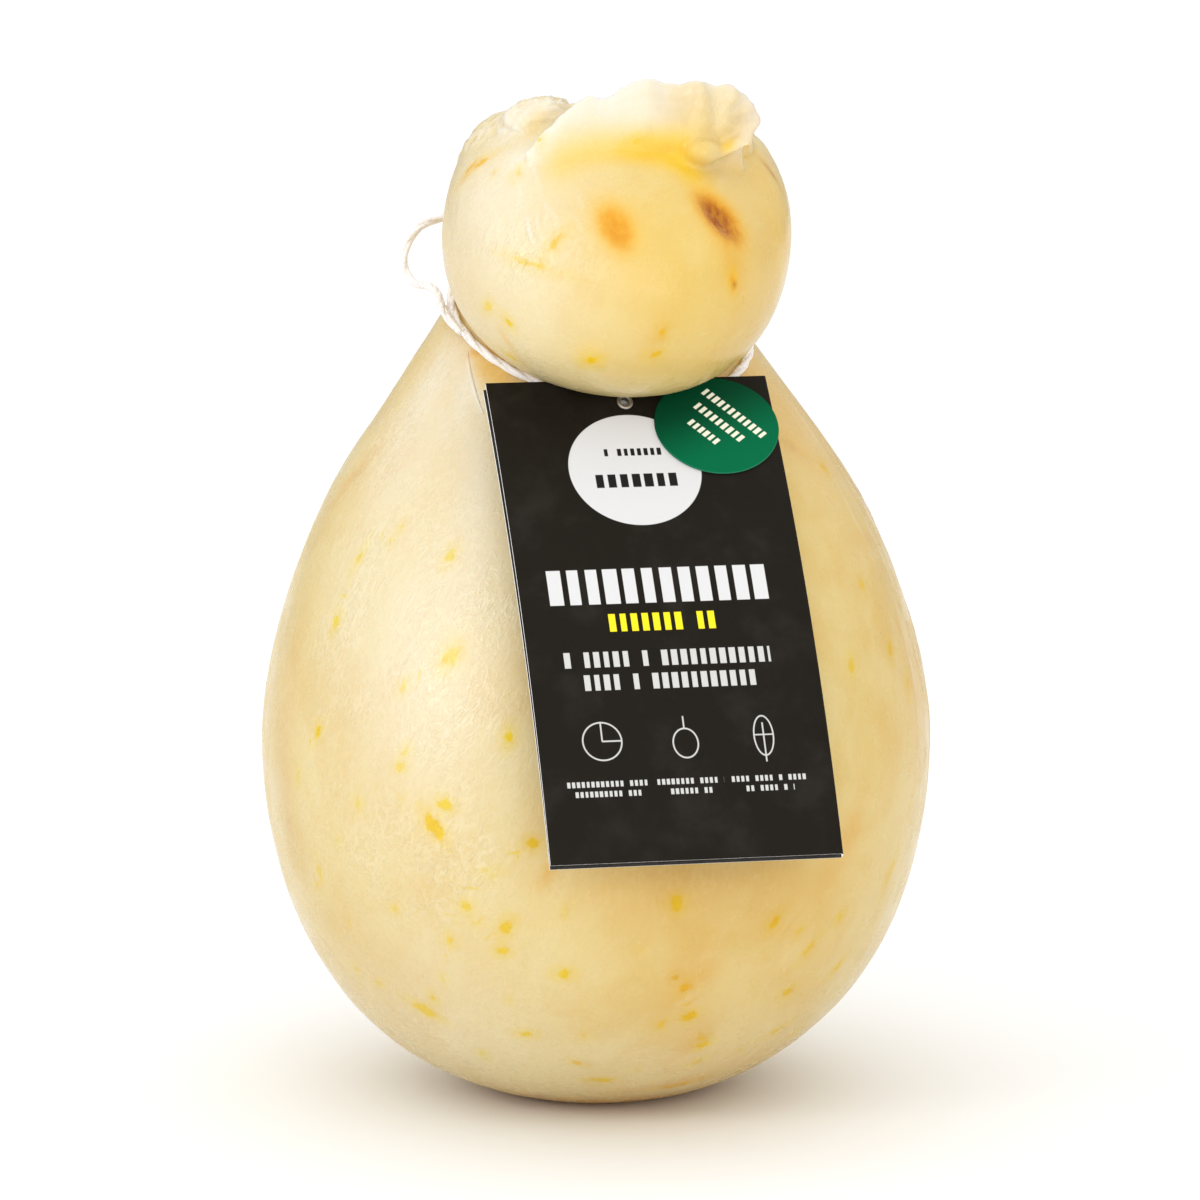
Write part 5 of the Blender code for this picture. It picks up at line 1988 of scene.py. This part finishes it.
    def knot(self, cheese: Cheese, ends: tuple[Vector, ...]) -> Object:
        """A small overhand knot: one cord wound twice round itself.

        Args:
            cheese: the cheese that it lies on.
            ends: the ends of the other cords, which short pieces lead into the knot.

        Returns:
            The knot with those short pieces.
        """
        back = self.tie_point(cheese, math.pi / 2)
        angle = cheese.cone_angle
        outward_way = Vector((0.0, math.cos(angle), math.sin(angle)))
        depth = self.knot_half_depth + self.knot_gap - self.stand_off
        centre = back + outward_way * depth
        upward = Vector((0.0, -math.sin(angle), math.cos(angle)))
        line = []
        wide, tall, deep = self.knot_swings
        for i in range(self.knot_steps + 1):
            t = 2 * math.pi * i / self.knot_steps
            across = (math.sin(t) + 2 * math.sin(2 * t)) * wide
            rise = (math.cos(t) - 2 * math.cos(2 * t)) * tall
            line.append(centre + Vector((across, 0.0, 0.0)) + upward * rise
                        - outward_way * (math.sin(3 * t) * deep))
        coil = self.strand_mesh("twine_knot_coil", line)
        join(coil, [self.strand_mesh("knot_entry", [end, centre]) for end in ends])
        return coil


# ---- tag


@dataclass
class Tag:
    """The folded card with its eyelet and round sticker. Positions on it are in millimetres."""

    width: float = 64.0
    length: float = 108.0
    top: Point = (6.9 * MM, -40.4 * MM, 164.6 * MM)
    turn: float = math.radians(16.8)
    top_pitch: float = math.radians(34.5)
    foot_pitch: float = math.radians(18.5)
    leaf: float = 0.35
    gap: float = 0.30
    wider: float = 0.6
    longer: float = 0.75
    sunk: float = 1.3
    top_share: float = 0.983
    foot_share: float = 0.997
    top_shift: float = -0.2
    foot_shift: float = 0.65
    down_share: float = 0.997
    raised: float = 0.55
    eyelet_centre: Pair = (-1.5, 5.6)
    eyelet_hole: float = 1.0
    eyelet_reach: float = 1.85
    card_hole: float = 1.55
    punch_depth: float = 6.0
    flange_height: float = 0.75
    barrel_below: float = -0.2
    columns: int = 45
    rows: int = 64
    fold_columns: int = 5
    back_print: float = 400.0
    sticker_centre: Pair = (18.3, 11.0)
    sticker_radius: float = 13.1
    sticker_half: Pair = (14.15, 11.5)
    sticker_shift: float = 1.05
    foot_skew: float = 0.55
    sticker_out: float = 0.30
    sticker_thick: float = 0.25
    clearance: float = 0.35
    tucked: float = 16.0
    card: CardFinish = CardFinish()
    sticker: StickerFinish = StickerFinish()
    plain: PlainFinish = PlainFinish("card_plain", (0.013, 0.012, 0.010), (0.024, 0.021, 0.018),
                                     0.55, 220.0, 0.0, 0.22)
    paper: PlainFinish = PlainFinish("paper_edge", (0.93, 0.92, 0.91), (0.82, 0.81, 0.79), 0.8,
                                     900.0, 0.0, 0.2)
    metal: PlainFinish = PlainFinish("eyelet_metal", (0.44, 0.41, 0.36), (0.30, 0.27, 0.23),
                                     0.38, 900.0, 0.9)
    sticker_back: PlainFinish = PlainFinish("sticker_back", (0.72, 0.71, 0.68), (0.62, 0.60, 0.57), 0.7)

    def pitch(self, down: float) -> float:
        """The card's lean from the vertical, less towards its foot."""
        return self.top_pitch + (self.foot_pitch - self.top_pitch) * down / self.length

    def point(self, across: float, down: float, out: float) -> Vector:
        """A point on the bent card, which is a little wider at its foot than at its top.

        Args:
            across: to the right of its middle line.
            down: below its top edge, along its face.
            out: in front of its face.

        Returns:
            The point, in metres.
        """
        share = down / self.length
        across = across * (self.top_share + (self.foot_share - self.top_share) * share) \
            + self.top_shift + (self.foot_shift - self.top_shift) * share
        down = down * self.down_share - self.raised \
            + self.foot_skew * share * across / (self.width / 2)
        y, z = 0.0, 0.0
        steps = 24
        for i in range(steps):
            pitch = self.pitch(down * (i + 0.5) / steps)
            y -= math.sin(pitch) * down / steps
            z -= math.cos(pitch) * down / steps
        pitch = self.pitch(down)
        local = Vector((across, y - math.cos(pitch) * out, z + math.sin(pitch) * out)) * MM
        return Vector(self.top) + Matrix.Rotation(self.turn, 3, "Z") @ local

    def bend(self, obj: Object) -> None:
        """Lay a flat mesh on the card.

        Args:
            obj: a flat piece: x goes across, y down and z out, in millimetres.
        """
        points = positions(obj)
        for i, (across, down, out) in enumerate(points):
            points[i] = self.point(across, down, out)
        place_vertices(obj, points)

    def slot(self) -> Object:
        """Make the room that the chin leaves for the card and the sticker.

        Returns:
            A closed form round the top of the card.
        """
        half = self.width / 2 + self.clearance
        front = self.sticker_out + self.sticker_thick + self.clearance
        back = -(2 * self.leaf + self.gap + self.clearance)
        top = self.sticker_centre[1] + self.sticker_shift - self.sticker_half[1] - self.clearance
        rings = []
        for i in range(9):
            down = top + (self.tucked - top) * i / 8
            rings.append([self.point(a, down, o) for a, o in
                          ((-half, front), (half, front), (half, back), (-half, back))])
        return loft("tuck", rings)

    def build_card(self) -> Object:
        """Fold one sheet into two leaves, give it its thickness and punch the eyelet's hole.

        Returns:
            The finished card.
        """
        columns = self.columns
        settle()
        bpy.ops.mesh.primitive_grid_add(x_subdivisions=columns, y_subdivisions=self.rows, size=2.0)
        card = named("tag_two_leaves")
        points = positions(card)
        mesh = card.data
        uv = mesh.uv_layers.active
        front, back = -self.leaf / 2, -(self.leaf * 1.5 + self.gap)
        right = self.width / 2
        bend_radius = (front - back) / 2
        spots = np.zeros((len(points), 2))
        leaf_columns = (columns - self.fold_columns) // 2
        for i, (x, y, _) in enumerate(points):
            column = round((x + 1.0) / 2.0 * columns)
            row = (1.0 - y) / 2.0
            if column <= leaf_columns:
                share = column / leaf_columns
                left = -right - self.wider * (1.0 - row)
                across, out = left + (right - bend_radius - left) * share, back
                down = row * (self.length + self.longer) + self.sunk * (1.0 - row) * (1.0 - share)
            elif column >= columns - leaf_columns:
                share = (columns - column) / leaf_columns
                across, out = -right + (2 * right - bend_radius) * share, front
                down = row * self.length
            else:
                share = (column - leaf_columns) / (columns - 2 * leaf_columns)
                swing = math.pi * (share - 0.5)
                across = right - bend_radius + bend_radius * math.cos(swing)
                out = (front + back) / 2 + bend_radius * math.sin(swing)
                down = row * (self.length + self.longer * (1.0 - share))
            points[i] = (across, down, out)
            spots[i] = (across + (0.0 if out >= front - 0.01 else self.back_print), down)
        place_vertices(card, points)
        for loop in mesh.loops:
            uv.data[loop.index].uv = spots[loop.vertex_index]
        uv.name = "UVMap"
        self.bend(card)
        for finish in (self.card, self.plain, self.paper):
            card.data.materials.append(finish.build())
        self.face_out(card)
        apply_modifier(card, "SOLIDIFY", thickness=self.leaf * MM, offset=0.0,
                       use_even_offset=True, material_offset=1, material_offset_rim=2)
        combine(card, self.punch(), "DIFFERENCE")
        smooth_shade(card, 35.0)
        return card

    def face_out(self, card: Object) -> None:
        """Turn the single sheet's faces so that the front leaf faces the camera's side.

        Args:
            card: the folded sheet, before it has its thickness.
        """
        uv = card.data.uv_layers.active
        front = [p for p in card.data.polygons
                 if max(uv.data[k].uv[0] for k in p.loop_indices) < self.width]
        if front[len(front) // 2].normal.y > 0.0:
            card.data.flip_normals()

    def punch(self) -> Object:
        """Make the punch that cuts the card's hole.

        Returns:
            A closed cylinder through the card at its eyelet.
        """
        middle = self.point(*self.eyelet_centre, -self.leaf)
        normal = (self.point(*self.eyelet_centre, 1.0) - middle).normalized()
        settle()
        bpy.ops.mesh.primitive_cylinder_add(vertices=40, radius=self.card_hole * MM,
                                            depth=self.punch_depth * MM)
        obj = named("punch")
        obj.matrix_world = Matrix.Translation(middle) @ normal.to_track_quat("Z", "Y") \
            .to_matrix().to_4x4()
        bake_place(obj)
        return obj

    def build_eyelet(self) -> Object:
        """Roll the eyelet.

        Returns:
            A rolled flange in front of the card, with its barrel through both leaves.
        """
        settle()
        middle = (self.eyelet_hole + self.eyelet_reach) / 2
        bpy.ops.mesh.primitive_torus_add(major_segments=48, minor_segments=12, major_radius=middle,
                                         minor_radius=middle - self.eyelet_hole)
        eyelet = named("eyelet_ring")
        points = positions(eyelet)
        rolled = self.sticker_out + self.sticker_thick
        barrel = -(2 * self.leaf + self.gap)
        for i, (x, y, z) in enumerate(points):
            out = rolled * 0.5 + z * self.flange_height
            if math.hypot(x, y) < middle and z < self.barrel_below:
                out = barrel
            points[i] = (x + self.eyelet_centre[0], y + self.eyelet_centre[1], out)
        place_vertices(eyelet, points)
        self.bend(eyelet)
        outward(eyelet)
        eyelet.data.materials.append(self.metal.build())
        smooth_shade(eyelet, 60.0)
        return eyelet

    def build_sticker(self) -> Object:
        """Cut the sticker.

        Returns:
            A piece of paper, oval as it lies on the card and bent with it.
        """
        settle()
        bpy.ops.mesh.primitive_circle_add(vertices=96, radius=self.sticker_radius, fill_type="NGON")
        sticker = named("sticker_round")
        bpy.ops.object.mode_set(mode="EDIT")
        bpy.ops.mesh.select_all(action="SELECT")
        for _ in range(8):
            bpy.ops.mesh.inset(thickness=self.sticker_radius / 9.0)
        bpy.ops.mesh.poke()
        bpy.ops.object.mode_set(mode="OBJECT")
        points = positions(sticker)
        uv = sticker.data.uv_layers.active or sticker.data.uv_layers.new(name="UVMap")
        for loop in sticker.data.loops:
            x, y, _ = points[loop.vertex_index]
            uv.data[loop.index].uv = (x, y)
        uv.name = "UVMap"
        wide, tall = self.sticker_half
        points[:, 0] = points[:, 0] * wide / self.sticker_radius + self.sticker_centre[0]
        points[:, 1] = points[:, 1] * tall / self.sticker_radius + self.sticker_centre[1] \
            + self.sticker_shift
        points[:, 2] = self.sticker_out + self.sticker_thick / 2
        place_vertices(sticker, points)
        self.bend(sticker)
        if sticker.data.polygons[0].normal.y > 0.0:
            sticker.data.flip_normals()
        sticker.data.materials.append(self.sticker.build())
        sticker.data.materials.append(self.sticker_back.build())
        apply_modifier(sticker, "SOLIDIFY", thickness=self.sticker_thick * MM, offset=0.0,
                       material_offset=1, material_offset_rim=0)
        smooth_shade(sticker, 35.0)
        return sticker

    def build(self) -> None:
        """Make the card, the eyelet and the sticker."""
        for piece, node, slot in ((self.build_card(), "tag_card", "card"),
                                  (self.build_eyelet(), "eyelet", "eyelet"),
                                  (self.build_sticker(), "sticker", "sticker")):
            dress(piece, node)


# ---- studio


@dataclass(frozen=True)
class Softbox:
    """A square soft light."""

    name: str
    place: Point
    size: float
    watts: float
    colour: Colour = (1.0, 1.0, 1.0)

    def build(self, aim: Vector) -> None:
        """Add the light.

        Args:
            aim: the point that it is turned towards.
        """
        data = bpy.data.lights.new(self.name, "AREA")
        data.shape = "SQUARE"
        data.size = self.size
        data.energy = self.watts
        data.color = self.colour
        light = bpy.data.objects.new(self.name, data)
        light.location = self.place
        light.rotation_euler = (aim - Vector(self.place)).to_track_quat("-Z", "Y").to_euler()
        bpy.context.scene.collection.objects.link(light)


@dataclass(frozen=True)
class Studio:
    """A plain white floor under a sky that is brightest overhead."""

    floor_half: float = 300.0
    floor_white: float = 0.90
    sky_low: float = 0.52
    sky_high: float = 1.28
    sky_height: float = 0.7
    aim: Point = (0.0, 0.0, 0.11)
    boxes: tuple[Softbox, ...] = (
        Softbox("key_left", (-1.05, -0.80, 0.62), 0.45, 4.1, (0.97, 0.98, 1.0)),
        Softbox("fill_front", (0.30, -1.30, 0.22), 1.0, 7.0, (1.0, 0.97, 0.92)),
    )

    def build(self) -> None:
        """Add the floor, the lights and the white surroundings."""
        settle()
        bpy.ops.mesh.primitive_plane_add(size=2 * self.floor_half, location=(0.0, 0.0, 0.0))
        floor = named("floor")
        white = self.floor_white
        material, _, shader = new_material("floor_white")
        shader.inputs["Base Color"].default_value = (white, white, white, 1.0)
        shader.inputs["Roughness"].default_value = 1.0
        shader.inputs["Specular IOR Level"].default_value = 0.0
        floor.data.materials.append(material)
        for box in self.boxes:
            box.build(Vector(self.aim))
        world = bpy.data.worlds.new("surroundings")
        world.use_nodes = True
        sheet = Sheet(world.node_tree)
        way = sheet.add("TexCoord").outputs["Generated"]
        upward = sheet.add("SeparateXYZ", {0: way}).outputs[2]
        strength = sheet.between(upward, 0.0, self.sky_height, self.sky_low, self.sky_high)
        background = world.node_tree.nodes["Background"]
        background.inputs["Color"].default_value = (1.0, 1.0, 1.0, 1.0)
        world.node_tree.links.new(strength, background.inputs["Strength"])
        bpy.context.scene.world = world
        bpy.context.scene.view_settings.view_transform = "Standard"


def main() -> None:
    """Build the studio, the cheese, its twine and its tag, in that order."""
    logging.basicConfig(level=logging.INFO, format="%(name)s: %(message)s")
    lens = Lens()
    lens.build()
    Studio().build()
    cheese, twine, tag = Cheese(), Twine(), Tag()
    skin = cheese.build(lens, [twine.channel(cheese), tag.slot()])
    LOG.info("cheese skin: %d faces", len(skin.data.polygons))
    twine.build(cheese)
    LOG.info("twine: tie, loop and knot")
    tag.build()
    LOG.info("tag: card, eyelet and sticker")


if __name__ == "__main__":
    main()
